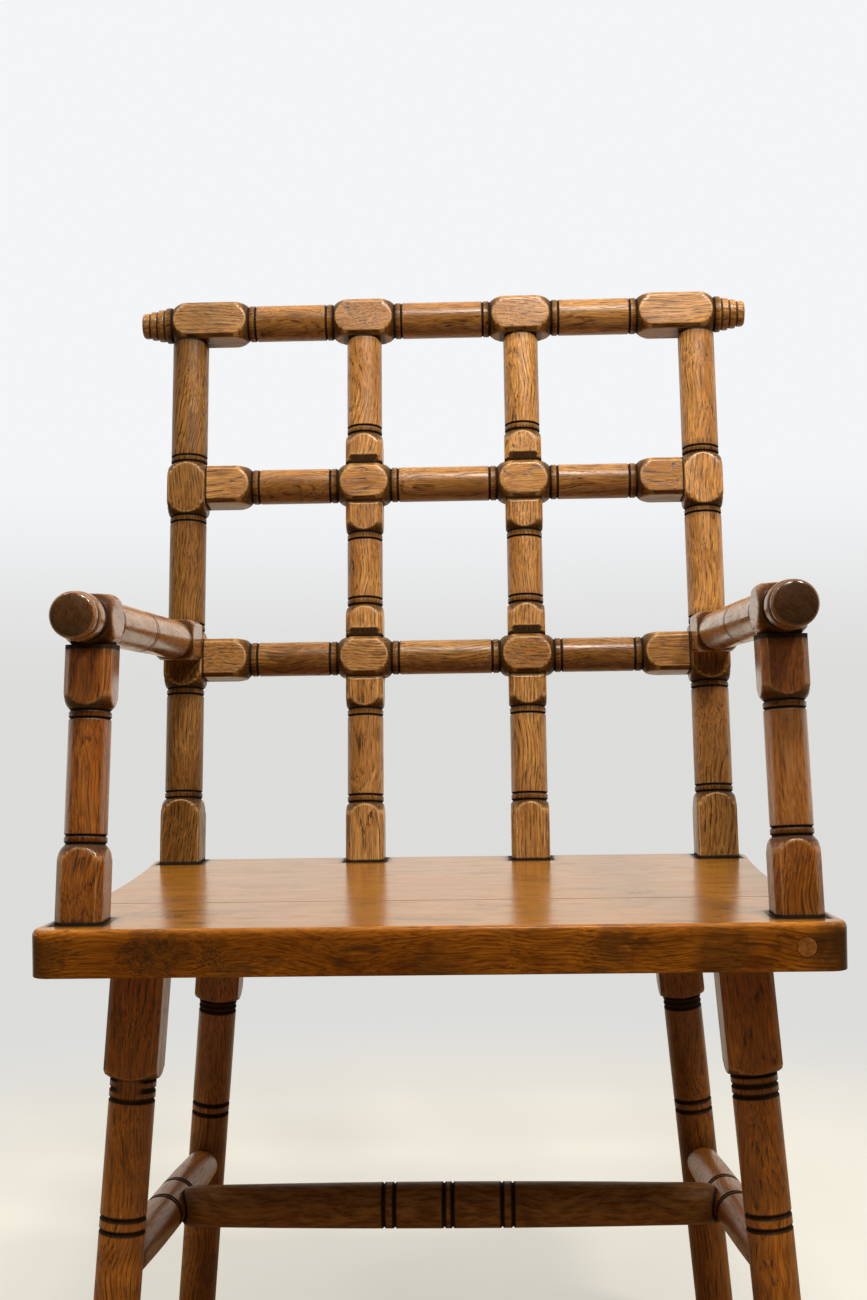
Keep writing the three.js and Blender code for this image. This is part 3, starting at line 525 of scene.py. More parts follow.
def member(name, slot, turning, span, placing, ends=(None, None), caps=((), ()), limit=None, dim=0.0,
           underside_shade=0.0, rub_and_sheen=0.0, rubbed=None, shaded_sockets=()):
    """A turned and squared member from its outline, with its ends cut to what they meet.

    The old finish has stayed darker overall by dim. Painted shade darkens the shafts' lower sides by
    underside_shade and the faces round where other pieces enter, and hands have rubbed the shafts
    paler by rub_and_sheen, which on the right support is a painted sheen.
    """
    start, end = span
    placing = axis_frame(*placing)
    stock = turning.stock
    angles = stock.angles() if stock else np.arange(ROUND_COLUMNS) * 2 * math.pi / ROUND_COLUMNS
    facing = np.cos(angles)
    rows = turning.rows(start, end)
    whole = np.ones((len(rows), len(angles)))
    turned = turning.radius_at(rows)[:, None] * whole
    wax = darkness(rows, turning.lines["groove"]) * whole
    if rubbed:
        filled = rubbed_share(rows, angles, placing, *rubbed)
        turned = np.maximum(turned, np.minimum(turned + GROOVE_DEPTH * filled, turning.shaft))
        wax = wax * (1 - filled)
    radii, on_bar, edges, bevel, bevel_shade = turned, 0, 0, 0, 0
    if stock:
        bar, arris = stock.radius(angles)
        bar = bar * whole
        if limit:
            bar, bevel, bevel_shade = limit(rows, angles, bar)
        radii = smooth_min(turned, bar, SOFT_ARCH)
        on_bar = fraction(turned - bar, 0.5)
        slope = fraction(np.abs(np.gradient(turned[:, 0], rows))[:, None], 0.4)
        edges = np.maximum(bell(turned - bar, ARCH_WEAR) * slope, arris * on_bar)
    dims = darkness(rows, turning.lines["dim"], PATCH_STEEPNESS) * whole
    wear = np.maximum(rub_and_sheen * (1 - dims) * (1 - on_bar), np.maximum(bevel, edges))
    wax = np.maximum(wax * (1 - on_bar), bevel_shade)
    # painted contact shadow, black where pieces touch, in the same channel as the groove wax
    wax = np.maximum(wax, darkness(rows, turning.lines["contact"]))
    # painted shade: each shaft's lower side is darker, as if lit from above
    underside = underside_shade * fraction(0.55 - facing, 0.45) * np.clip(1.5 + facing, 0.55, 1)
    dims = np.maximum(dims, underside) * (1 - on_bar)
    if underside_shade:
        # painted shade on the lower chamfers, which face down
        painted_chamfer_shade = LOWER_CHAMFER_SHADE * fraction(1.5 - np.abs(facing + math.sqrt(0.5)) / 0.09)
        dims = np.maximum(dims, np.maximum(painted_chamfer_shade, RAIL_BLOCK_DIM) * on_bar)
    dims = np.maximum(dims, darkness(rows, turning.lines["patch"], PATCH_STEEPNESS))
    # painted contact shade on the faces turned towards the pieces that enter the rail
    for centre, sides in shaded_sockets:
        near = fraction(SOCKET_REACH - np.abs(rows - centre), SOCKET_FADE)[:, None]
        turned_to = np.max([fraction(way * facing - 0.62, 0.15) for way in sides], axis=0)
        dims = np.maximum(dims, SOCKET_SHADE * near * turned_to)
    dims = 1 - (1 - dims) * (1 - dim)
    along = rows[:, None] * whole
    across, third = (np.array(placing.col[k].to_3d()) for k in (1, 2))
    directions = np.outer(np.cos(angles), across) + np.outer(np.sin(angles), third)
    for row, nominal, cut in ((0, start, ends[0]), (-1, end, ends[1])):
        if cut:
            shift = cut(placing, directions, radii[row], nominal) - nominal
            along = along + fraction(1 - np.abs(along - nominal) / END_ZONE) * shift
    rings = list(np.stack([along, radii, wax, wear, dims], axis=1))
    for base, cap, heading in ((rings[0], caps[0], -1), (rings[-1], caps[1], 1)):
        for rise, share, cap_wax in cap:
            ring = base * np.array([1, share, 0, 0, 1])[:, None]
            ring += np.array([heading * rise, 0, cap_wax, 0, 0])[:, None]
            rings = rings + [ring] if heading > 0 else [ring] + rings
    make_piece(name, slot, *skin(np.array(rings), angles), placing, grain_frame())


def skin(rings, angles):
    """Joins rings of distance, radius and marks into a closed surface, with a fan at either end."""
    count = len(angles)
    surface = np.stack([rings[:, 0], rings[:, 1] * np.cos(angles), rings[:, 1] * np.sin(angles)], axis=-1)
    points = np.concatenate([surface.reshape(-1, 3), [surface[0].mean(0), surface[-1].mean(0)]])
    marks = {}
    for part, mark in ((2, "wax"), (3, "wear"), (4, "dim")):
        values = rings[:, part]
        marks[mark] = np.concatenate([values.ravel(), [values[0].mean(), values[-1].mean()]])
    top = (len(rings) - 1) * count
    faces = [(low + k, low + after, low + count + after, low + count + k)
             for low in range(0, top, count) for k, after in around(count)]
    first, last = len(points) - 2, len(points) - 1
    for k, after in around(count):
        faces += [(first, after, k), (last, top + k, top + after)]
    return points, faces, marks


main_stock = Stock(STOCK, STOCK_CHAMFER)


def back_post(side, sign):
    right = sign * POST_SPACING
    top = CREST_RISE - STOCK / 2 - FIT_GAP
    turning = Turning(SHAFT_RADIUS, Stock(STOCK, chamfer=1.5), pitch=6.0).uncut(-PAST_END)
    turning.block_end(POST_FOOT_BLOCK, -1).block(LOWER_RISE, POST_LOWER_BLOCK)
    turning.block(MIDDLE_RISE - POST_MIDDLE_DROP, POST_MIDDLE_BLOCK).tip(top)
    # the contacts are painted contact shadow, and the patches at the top and below the arm are painted shadow
    # under the crest and the arm; the wide patch at the foot just darkens it
    turning.mark("contact", 0, 3.0).mark("contact", top, 3.5)
    turning.mark("patch", top, 9, 0.7).mark("patch", LOWER_RISE - 18, 20, 0.75).mark("patch", 30, 110, 0.5)
    # the left post is darker overall, partly painted shade
    member(f"{side}_back_post", "back_oak", turning, (0, top), (back_point(right, 0, 0), BACK_UP, ACROSS),
           (seat_end(right, POST_SETBACK), None), dim=LEFT_POST_DIM if sign < 0 else 0)


def crest_rail():
    pitch = FINIAL_LENGTH / FINIAL_RINGS
    finial = CREST_HALF - FINIAL_LENGTH
    turning = Turning(SHAFT_RADIUS, main_stock, RAIL_PITCH).block(UPRIGHT_SPACING, CREST_CROSS_BLOCK)
    turning.block_end(finial - CREST_END_BLOCK, 1).shoulder(finial, -1)
    for ring in range(FINIAL_RINGS):
        radius = SHAFT_RADIUS - ring * RING_STEP
        start = finial + ring * pitch
        if ring:
            turning.at(start, radius - GROOVE_DEPTH).mark("groove", start, 1.5, 0.7)
        before = 1.6 if ring == FINIAL_RINGS - 1 else 0.9
        turning.at(start + 1.0, radius - 0.25).at(start + pitch / 2, radius)
        turning.at(start + pitch - before, radius - 0.3)
    turning.at(CREST_HALF, radius - 1.6)
    turning = turning.both_ways().mark("patch", -finial + CREST_END_BLOCK / 2, 70, 0.35)
    shaded_sockets = [(sign * place, (-1,)) for sign in (-1, 1) for place in (POST_SPACING, UPRIGHT_SPACING)]
    placing = (back_point(0, 0, CREST_RISE), ACROSS, BACK_UP)
    member("crest_rail", "back_oak", turning, (-CREST_HALF, CREST_HALF), placing, caps=(FLAT_CAP, FLAT_CAP),
           underside_shade=RAIL_UNDERSIDE_SHADE, shaded_sockets=shaded_sockets)


def lattice_rail(name, rise, radius, dim):
    half = POST_SPACING - STOCK / 2 - FIT_GAP
    turning = Turning(radius, main_stock, RAIL_PITCH).block(UPRIGHT_SPACING, RAIL_CROSS_BLOCK)
    # painted contact shadow where the rail meets the post
    turning.block_end(half - RAIL_END_BLOCK, 1).uncut(half).mark("contact", half, CONTACT_WIDTH)
    shaded_sockets = [(sign * UPRIGHT_SPACING, (-1, 1)) for sign in (-1, 1)]
    member(name, "back_oak", turning.both_ways(), (-half, half), (back_point(0, 0, rise), ACROSS, BACK_UP),
           dim=dim, underside_shade=RAIL_UNDERSIDE_SHADE, shaded_sockets=shaded_sockets)


def bevel_limit(start, end, foot_bevel, head_bevel, half):
    """Flat bevels on the front and the back of a short upright, at its ends, with painted shade on the foot
    bevels, which face down.
    """
    def limit(rows, angles, bar):
        reach = np.full(len(rows), half + BEVEL_DEPTH)
        for bevel, away in ((foot_bevel, rows - start), (head_bevel, end - rows)):
            if bevel:
                reach = np.minimum(reach, half - BEVEL_DEPTH + away * BEVEL_DEPTH / bevel)
        flat = reach[:, None] / np.maximum(np.abs(np.sin(angles)), 0.05)
        edge = bell(flat - bar, BEVEL_WEAR) * (reach < half + 1)[:, None]
        # painted shade on the foot bevel
        on_foot = fraction(bar - flat, 0.6) * (rows < (start + end) / 2)[:, None]
        return smooth_min(bar, flat, SOFT_BEVEL), edge, FOOT_BEVEL_SHADE * on_foot
    return limit


def short_upright(side, sign, level, bottom, top, foot_block, head_block, foot_bevel, head_bevel, dim):
    stock = Stock(width=36.4, chamfer=5.0)
    start, end = bottom + FIT_GAP, top - FIT_GAP
    turning = Turning(shaft=17.4, stock=stock, pitch=6.6).uncut(start - PAST_END)
    turning.block_end(bottom + foot_block, -1)
    if head_block:
        turning.block_end(top - head_block, 1).uncut(end + 1)
    else:
        turning.tip(end)
    # the contacts are painted contact shadow, and the patch at the top is painted shadow under the rail above
    turning.mark("contact", start, 2.6).mark("contact", end, 3.0).mark("patch", end, 8, 0.6)
    if foot_bevel:
        turning.fine.append((start, start + foot_bevel + 1.5))
    if head_bevel:
        turning.fine.append((end - head_bevel - 1.5, end))
    right = sign * UPRIGHT_SPACING
    foot = None if foot_bevel else seat_end(right, POST_SETBACK)
    member(f"{side}_{level}_upright", "back_oak", turning, (start, end),
           (back_point(right, 0, 0), BACK_UP, ACROSS), (foot, None),
           limit=bevel_limit(start, end, foot_bevel, head_bevel, stock.half), dim=dim)


def arm_line(sign):
    """An arm's rear and tip, and the point over its support."""
    rear = back_point(sign * POST_SPACING, STOCK / 2, ARM_RISE)
    tip = Vector((sign * ARM_TIP_SPACING, ARM_TIP_SETBACK, SEAT_HEIGHT + ARM_TIP_RISE))
    return rear, tip, rear.lerp(tip, (rear.y - SUPPORT_HEAD_SETBACK) / (rear.y - tip.y))


def arm(side, sign):
    rear, tip, over_support = arm_line(sign)
    length = (tip - rear).length
    block = (over_support - rear).length
    behind, ahead = ARM_FRONT_BLOCK
    turning = Turning(SHAFT_RADIUS, main_stock, pitch=7.5).uncut(-PAST_END).block_end(ARM_REAR_BLOCK, -1)
    for place in ARM_GROOVES:
        turning.groove(place)
    turning.block_end(block - behind, 1).shoulder(block + ahead, -1, NECK_RADIUS + GROOVE_DEPTH)
    for back, radius in KNOB:
        turning.at(length - back, radius)
    turning.mark("groove", length - 12.5, 1.6, 0.6).mark("groove", length - 32.6, 3.0, 0.9)
    # painted contact shadow where the arm meets the post
    turning.mark("contact", 0, CONTACT_WIDTH).mark("dim", length - 12, 24, 0.5 + 0.2 * sign)
    dome = [(DOME_RISE * rise, share, 0.0) for rise, share in KNOB_DOME]
    member(f"{side}_arm", "arm_oak", turning, (0, length - DOME_RISE), (rear, tip - rear, ACROSS),
           (flat_end(rear + BACK_AHEAD * FIT_GAP, BACK_AHEAD), None), ((), dome), rub_and_sheen=ARM_RUB)


def arm_support(side, sign):
    rear, tip, over_support = arm_line(sign)
    foot = Vector((sign * SUPPORT_SPACING, SUPPORT_FOOT_SETBACK, SEAT_HEIGHT))
    down = (tip - rear).cross(ACROSS).normalized()
    down = down if down.z < 0 else -down
    head = over_support + down * STOCK / 2
    length = (head - foot).length
    turning = Turning(shaft=16.1, stock=Stock(width=36.0, chamfer=5.0), pitch=5.9)
    turning.uncut(-PAST_END).block_end(SUPPORT_FOOT_BLOCK, -1).block_end(length - SUPPORT_HEAD_BLOCK, 1)
    # the contacts are painted contact shadow, and the patch at the head is painted shadow under the arm; the
    # patch at the foot just darkens it
    turning.uncut(length + PAST_END / 2).mark("contact", 0, 3.0).mark("contact", length, 6.0)
    turning.mark("patch", length, 14, 0.7).mark("patch", 0, 80, 0.35 + 0.1 * sign)
    member(f"{side}_arm_support", "arm_oak", turning, (0, length), (foot, head - foot, ACROSS),
           (seat_end(foot.x, foot.y), flat_end(head + down * FIT_GAP, down)),
           # the right support's shaft is painted paler, a painted sheen
           rub_and_sheen=RIGHT_SUPPORT_SHEEN if sign > 0 else 0.0)


def leg_line(leg, sign):
    """Where a leg's axis leaves the seat, and its way down for each millimetre of height."""
    return (Vector((sign * leg["spacing"], leg["setback"], SEAT_HEIGHT - SEAT_THICKNESS)),
            Vector((sign * leg["splay"], leg["rake"], -1)))


def leg_at(leg, sign, height):
    head, slope = leg_line(leg, sign)
    return head + slope * (head.z - height)


def turned_leg(name, leg, sign):
    head, slope = leg_line(leg, sign)
    foot = leg_at(leg, sign, 0)
    length = (foot - head).length
    tie = (leg_at(leg, sign, STRETCHER_HEIGHT) - head).length
    radius, block, collar = leg["radius"], leg["block"], leg["collar"]
    turning = Turning(radius, Stock(leg["stock"], LEG_CHAMFER)).uncut(-PAST_END)
    turning.swell(block, -LEG_SHOULDER, radius - GROOVE_DEPTH, turning.stock.blank, LEG_SHARES)
    turning.mark("groove", block, LEG_GROOVE_WIDTH * LEG_WAX).at(block + LEG_GROOVE_WIDTH / 2, radius)
    turning.mark("dim", block - 2, 6, 0.6).mark("dim", block + collar, collar * 1.6, 0.35)
    grooves = [block + collar * ring for ring in (1, 2)]
    grooves += [tie + way * (leg["inset"] + leg["pitch"] * ring) for way in (-1, 1) for ring in (0, 1)]
    for centre in grooves:
        turning.groove(centre, width=LEG_GROOVE_WIDTH, wax=LEG_WAX)
    for way in (-1, 1):
        turning.mark("dim", tie + way * 14, 12, 0.3)
    # painted contact shadow where the leg meets the seat
    turning.at(length + PAST_END / 2, radius).mark("contact", 0, CONTACT_WIDTH)
    cuts = (flat_end(head - UP * FIT_GAP, UP), flat_end(foot, UP))
    rubbed = (block + collar / 2, collar) if name == RUBBED_LEG else None
    member(name, "leg_oak", turning, (0, length), (head, slope, ACROSS), cuts, dim=leg["dims"][sign > 0],
           rubbed=rubbed)


def stretcher(name, start, end, radii, groove_share, insets, meets, dim, rub_and_sheen):
    """A swelling stretcher that is drawn in to a nose where it meets a round member at each end."""
    length = (end - start).length
    end_radius, middle_radius = radii

    def radius_at(distance):
        return middle_radius - (middle_radius - end_radius) * (2 * distance / length - 1) ** 2

    near, far = (radius + FIT_GAP for _, _, radius in meets)
    grooves = [length * groove_share + inset for inset in insets]
    turning = Turning()
    for face, heading in ((near, 1), (length - far, -1)):
        full = radius_at(face + heading * NOSE_RUN)
        turning.swell(face, heading * NOSE_RUN, (full + NOSE_CORE) / 2, full, NOSE_SHARES)
        # painted contact shadow where the stretcher meets the leg
        turning.mark("contact", face, 2.8).mark("dim", face, 16, 0.6)
    for distance in length * np.linspace(0.1, 0.9, 9):
        clear = min(abs(distance - centre) for centre in grooves) > 6
        if clear and near + 14 < distance < length - far - 14:
            turning.at(distance, radius_at(distance))
    for centre in grooves:
        turning.groove(centre, radius_at(centre), wax=STRETCHER_WAX)
    ends = [coped_end(point, direction, radius + FIT_GAP) for point, direction, radius in meets]
    member(name, "leg_oak", turning, (near, length - far), (start, end - start, UP), ends, dim=dim, rub_and_sheen=rub_and_sheen)


def side_line(sign):
    """The points where a side stretcher's axis meets the back leg and the front leg."""
    return [leg_at(leg, sign, STRETCHER_HEIGHT) for leg in (BACK_LEG, FRONT_LEG)]


def side_stretcher(side, sign):
    meets = [(*leg_line(leg, sign), leg["radius"]) for leg in (BACK_LEG, FRONT_LEG)]
    stretcher(f"{side}_side_stretcher", *side_line(sign), SIDE_RADII, CROSS_SHARE, SIDE_GROOVES, meets,
              dim=0.2, rub_and_sheen=0.4)


def cross_stretcher():
    lines = [side_line(sign) for sign in (-1, 1)]
    meets = [(back, front - back, SIDE_RADII[1]) for back, front in lines]
    start, end = (back.lerp(front, CROSS_SHARE) for back, front in lines)
    stretcher("cross_stretcher", start, end, CROSS_RADII, 0.5, CROSS_GROOVES, meets, dim=1.0, rub_and_sheen=0.9)


def seat_half_width(setback):
    to_waist = (SEAT_WAIST_HALF - SEAT_FRONT_HALF) / SEAT_WAIST_SETBACK
    to_back = (SEAT_BACK_HALF - SEAT_WAIST_HALF) / (SEAT_DEPTH - SEAT_WAIST_SETBACK)
    bend = (to_back - to_waist) / SEAT_DEPTH
    return SEAT_FRONT_HALF + to_waist * setback + bend * setback * (setback - SEAT_WAIST_SETBACK)


def outline_half_width(setback):
    """Half the seat's width, drawn in at its rounded corners."""
    corners = quarter_round(setback, FRONT_CORNER) + quarter_round(SEAT_DEPTH - setback, BACK_CORNER)
    return seat_half_width(setback) - corners


def edge_distance(x, y):
    """How far a point of the seat lies inside the plank's outline."""
    inside = np.minimum(np.minimum(y, SEAT_DEPTH - y), seat_half_width(y) - np.abs(x))
    corners = ((FRONT_CORNER, FRONT_CORNER, -1), (SEAT_DEPTH - BACK_CORNER, BACK_CORNER, 1))
    for corner_y, corner, ahead in corners:
        centre = seat_half_width(corner_y) - corner
        dx, dy = np.abs(x) - centre, ahead * (y - corner_y)
        rounded = corner - np.hypot(np.maximum(dx, 0), np.maximum(dy, 0))
        inside = np.where((dx > 0) & (dy > 0), np.minimum(inside, rounded), inside)
    return np.maximum(inside, 0)


def spaced(low, high, extra):
    """Grid lines at an even step, with extra lines where the surface needs them."""
    lines = set(np.round(np.linspace(low, high, max(2, round((high - low) / SEAT_STEP))), 3))
    lines |= {round(value, 3) for value in extra if low < value < high}
    ordered = sorted(lines)
    kept = ordered[:1]
    for value in ordered[1:]:
        if value - kept[-1] > LEAST_SEAT_STEP or value == ordered[-1]:
            kept.append(value)
    return np.array(kept)


def seat_board(node, low, high):
    """One board of the seat: a grid over its top, with walls down to a flat underside."""
    is_front = low == 0
    half = seat_half_width(low)
    depth_lines = [*NEAR_EDGE, *(SEAT_DEPTH - edge for edge in NEAR_EDGE)]
    depth_lines += [SEAM_SETBACK + sign * away for sign in (-1, 1) for away in NEAR_SEAM]
    depth_lines += [FRONT_CORNER * share for share in CORNER_SHARES]
    depth_lines += [SEAT_DEPTH - BACK_CORNER * share for share in CORNER_SHARES[:-1]]
    across_lines = [sign * (half - edge) for sign in (-1, 1) for edge in NEAR_EDGE]
    if is_front:
        spread = seat_half_width(0) / outline_half_width(0)
        across_lines += [(SUPPORT_SPACING + away) * spread for away in (-PLUG_PATCH, PLUG_PATCH)]
        across_lines += [(SHAKE_PLACE + away) * spread for away in NEAR_SHAKE]
    for x, y, half_x, half_y in FEET:
        for away in NEAR_FOOT:
            depth_lines += [y - half_y - away, y + half_y + away]
            across_lines += [x - half_x - away, x + half_x + away]
    columns = spaced(-half, half, across_lines) / half
    rows = spaced(low, high, depth_lines)
    x = columns * outline_half_width(rows)[:, None]
    y = np.repeat(rows[:, None], len(columns), axis=1)
    inside = edge_distance(x, y)
    seam = np.abs(y - (high if is_front else low))
    drop = np.maximum(quarter_round(inside, SEAT_ARRIS), quarter_round(seam, SEAM_ARRIS))
    top = np.stack([x, y, SEAT_HEIGHT - drop], axis=-1).reshape(-1, 3)
    marks = {mark: values.ravel() for mark, values in seat_marks(x, y, inside, seam).items()}
    body = plank(top, marks, len(rows), len(columns), is_front)
    shift, aside, below = SEAT_PITH
    lean, turn = SEAT_TILTS
    pith = Matrix.Translation((rng.uniform(-shift, shift), (low + high) / 2 + aside, SEAT_HEIGHT + below))
    pith = pith @ Matrix.Rotation(lean, 4, "Y") @ Matrix.Rotation(rng.uniform(-turn, turn), 4, "Z")
    make_piece(node, "seat_oak", *body, Matrix.Identity(4), pith)


def seat_marks(x, y, inside, seam):
    """Dark lines round each foot, partly black grime and partly painted contact shade, and in the seam, the
    paler rubbed edge and the polished top.
    """
    wax = 0.8 * fraction(1 - seam / 1.2)
    dim = np.zeros_like(x)
    for foot_x, foot_y, half_x, half_y in FEET:
        away = np.maximum(np.maximum(np.abs(x - foot_x) - half_x, np.abs(y - foot_y) - half_y), 0)
        # round each foot: a black line and a brown ring, partly grime and partly painted contact shade
        wax = np.maximum(wax, fraction(2.0 - away / 2.4))
        dim = np.maximum(dim, 0.85 * fraction(1.4 - away / 8))
    return {"wax": wax, "wear": bell(inside - 2.5, 2.2), "dim": dim, "polish": fraction(inside - 2, 6)}


def plank(top, marks, rows, columns, bored):
    """Adds walls and an underside to a grid of top points, and bores the front wall for the plug."""
    grid = np.arange(rows * columns).reshape(rows, columns)
    border = np.concatenate([grid[0], grid[1:, -1], grid[-1, -2::-1], grid[-2:0:-1, 0]]).tolist()
    squares = np.stack([grid[:-1, :-1], grid[:-1, 1:], grid[1:, 1:], grid[1:, :-1]], axis=-1)
    faces = squares.reshape(-1, 4).tolist()
    rim = top[border]
    outward = np.sign(rim - top.mean(0))
    plug_height = SEAT_HEIGHT - PLUG_DROP
    bottom = SEAT_HEIGHT - SEAT_THICKNESS
    levels = ((plug_height + PLUG_PATCH, 0), (plug_height - PLUG_PATCH, 0),
              (bottom + LOWER_ARRIS * 1.5, 0), (bottom + LOWER_ARRIS, 0),
              (bottom + LOWER_ARRIS * 0.3, LOWER_ARRIS * 0.3), (bottom, LOWER_ARRIS))
    by_plug = np.abs(rim[:, 0] - SUPPORT_SPACING) < PLUG_PATCH + 0.01
    patch = [k for k in range(columns) if bored and by_plug[k]]
    points, last = [top], border
    for level, (height, inset) in enumerate(levels):
        now = list(range(len(top) + level * len(border), len(top) + (level + 1) * len(border)))
        points.append(rim - outward * (inset, inset, 0))
        points[-1][:, 2] = height
        for k, after in around(len(border)):
            if not (level == 1 and k in patch and after in patch):
                faces.append((last[k], now[k], now[after], last[after]))
        if level == 1:
            patch_loop = [last[k] for k in patch] + [now[k] for k in reversed(patch)]
        last = now
    faces.append(tuple(reversed(last)))
    points = np.concatenate(points)
    if patch:
        points, faces = bored_patch(points, faces, patch_loop)
    walls = points[len(top):]
    shake = (np.abs(walls[:, 0] - SHAKE_PLACE) < 0.15) & (walls[:, 1] < 0.01)
    on_walls = {"wax": np.where(shake, 0.6, 0.0), "dim": np.full(len(walls), SEAT_WALL_DIM),
                "polish": np.zeros(len(walls)),
                "wear": np.where(walls[:, 2] < bottom + LOWER_ARRIS * 1.2, 0.45, 0.0)}
    return points, faces, {mark: np.concatenate([values, on_walls[mark]]) for mark, values in marks.items()}


def bored_patch(points, faces, loop):
    """Fills a patch of the front wall round the plug's hole, and adds the blind hole behind it."""
    turns = np.arange(HOLE_COLUMNS) * 2 * math.pi / HOLE_COLUMNS
    radius = PLUG_RADIUS + FIT_GAP
    circle = np.stack([SUPPORT_SPACING + radius * np.cos(turns), turns * 0,
                       SEAT_HEIGHT - PLUG_DROP + radius * np.sin(turns)], axis=1)
    deep = circle + (0, PLUG_LENGTH + FIT_GAP, 0)
    first = len(points)
    points = np.concatenate([points, circle, deep, deep.mean(0)[None, :]])
    index = loop + list(range(first, first + HOLE_COLUMNS))
    corners = [Vector(points[k]) for k in index]
    for a, b, c in tessellate_polygon([corners[:len(loop)], corners[len(loop):]]):
        normal = (corners[b] - corners[a]).cross(corners[c] - corners[a])
        faces.append((index[a], index[b], index[c]) if normal.y < 0 else (index[a], index[c], index[b]))
    last = len(points) - 1
    inner = first + HOLE_COLUMNS
    for k, after in around(HOLE_COLUMNS):
        faces.append((first + k, inner + k, inner + after, first + after))
        faces.append((inner + k, last, inner + after))
    return points, faces


def seat_plug():
    turning = Turning().at(0, PLUG_RADIUS - 0.25).at(0.3, PLUG_RADIUS).at(PLUG_LENGTH, PLUG_RADIUS)
    place = Vector((SUPPORT_SPACING, 0, SEAT_HEIGHT - PLUG_DROP))
    member("seat_front_plug", "plug_oak", turning, (0, PLUG_LENGTH), (place, Vector((0, 1, 0)), ACROSS),
           caps=(((0, 0.8, 0.0), (0, 0.4, 0.0)), ()))


class Shader:
    """The node tree of a material or a world, with short calls for what it needs."""

    def __init__(self, owner):
        owner.use_nodes = True
        self.owner = owner
        self.tree = owner.node_tree
        self.tree.nodes.clear()

    def node(self, kind, inputs, **settings):
        made = self.tree.nodes.new("ShaderNode" + kind)
        for key, value in settings.items():
            setattr(made, key, value)
        for key, value in inputs.items():
            socket = made.inputs[key]
            if isinstance(value, bpy.types.NodeSocket):
                self.tree.links.new(value, socket)
            else:
                socket.default_value = (*value, 1) if socket.type == "RGBA" else value
        return made

    def math(self, operation, *values, clamp=False):
        return self.node("Math", dict(enumerate(values)), operation=operation, use_clamp=clamp).outputs[0]

    def times(self, a, b, clamp=False):
        return self.math("MULTIPLY", a, b, clamp=clamp)

    def most(self, found, *others):
        for other in others:
            found = self.math("MAXIMUM", found, other)
        return found

    def vectors(self, operation, *values, output="Vector"):
        return self.node("VectorMath", dict(enumerate(values)), operation=operation).outputs[output]

    def noise(self, vector, scale, detail=2, roughness=0.5, output="Fac"):
        inputs = {"Vector": vector, "Scale": scale, "Detail": detail, "Roughness": roughness}
        return self.node("TexNoise", inputs).outputs[output]

    def drift(self, vector, scale, detail):
        """A smoothly changing vector about zero."""
        return self.vectors("SUBTRACT", self.noise(vector, scale, detail, output="Color"), (0.5, 0.5, 0.5))

    def ramp(self, value, low, high, out_low=0.0, out_high=1.0):
        inputs = {"Value": value, "From Min": low, "From Max": high, "To Min": out_low, "To Max": out_high}
        return self.node("MapRange", inputs, interpolation_type="SMOOTHSTEP").outputs[0]

    def mix(self, share, a, b, blend="MIX"):
        inputs = {0: share, 6: a, 7: b}
        return self.node("Mix", inputs, data_type="RGBA", blend_type=blend, clamp_factor=True).outputs[2]

    def attribute(self, name, output="Fac"):
        return self.node("Attribute", {}, attribute_name=name).outputs[output]


def spots(s, place, centres, core):
    """How deep each place lies in a knot or a stain, of those listed by centre, reach and strength."""
    found = 0.0
    for *centre, reach, strength in centres:
        away = s.vectors("DISTANCE", place, centre, output="Value")
        found = s.most(found, s.ramp(away, reach * core, reach, strength, 0.0))
    return found


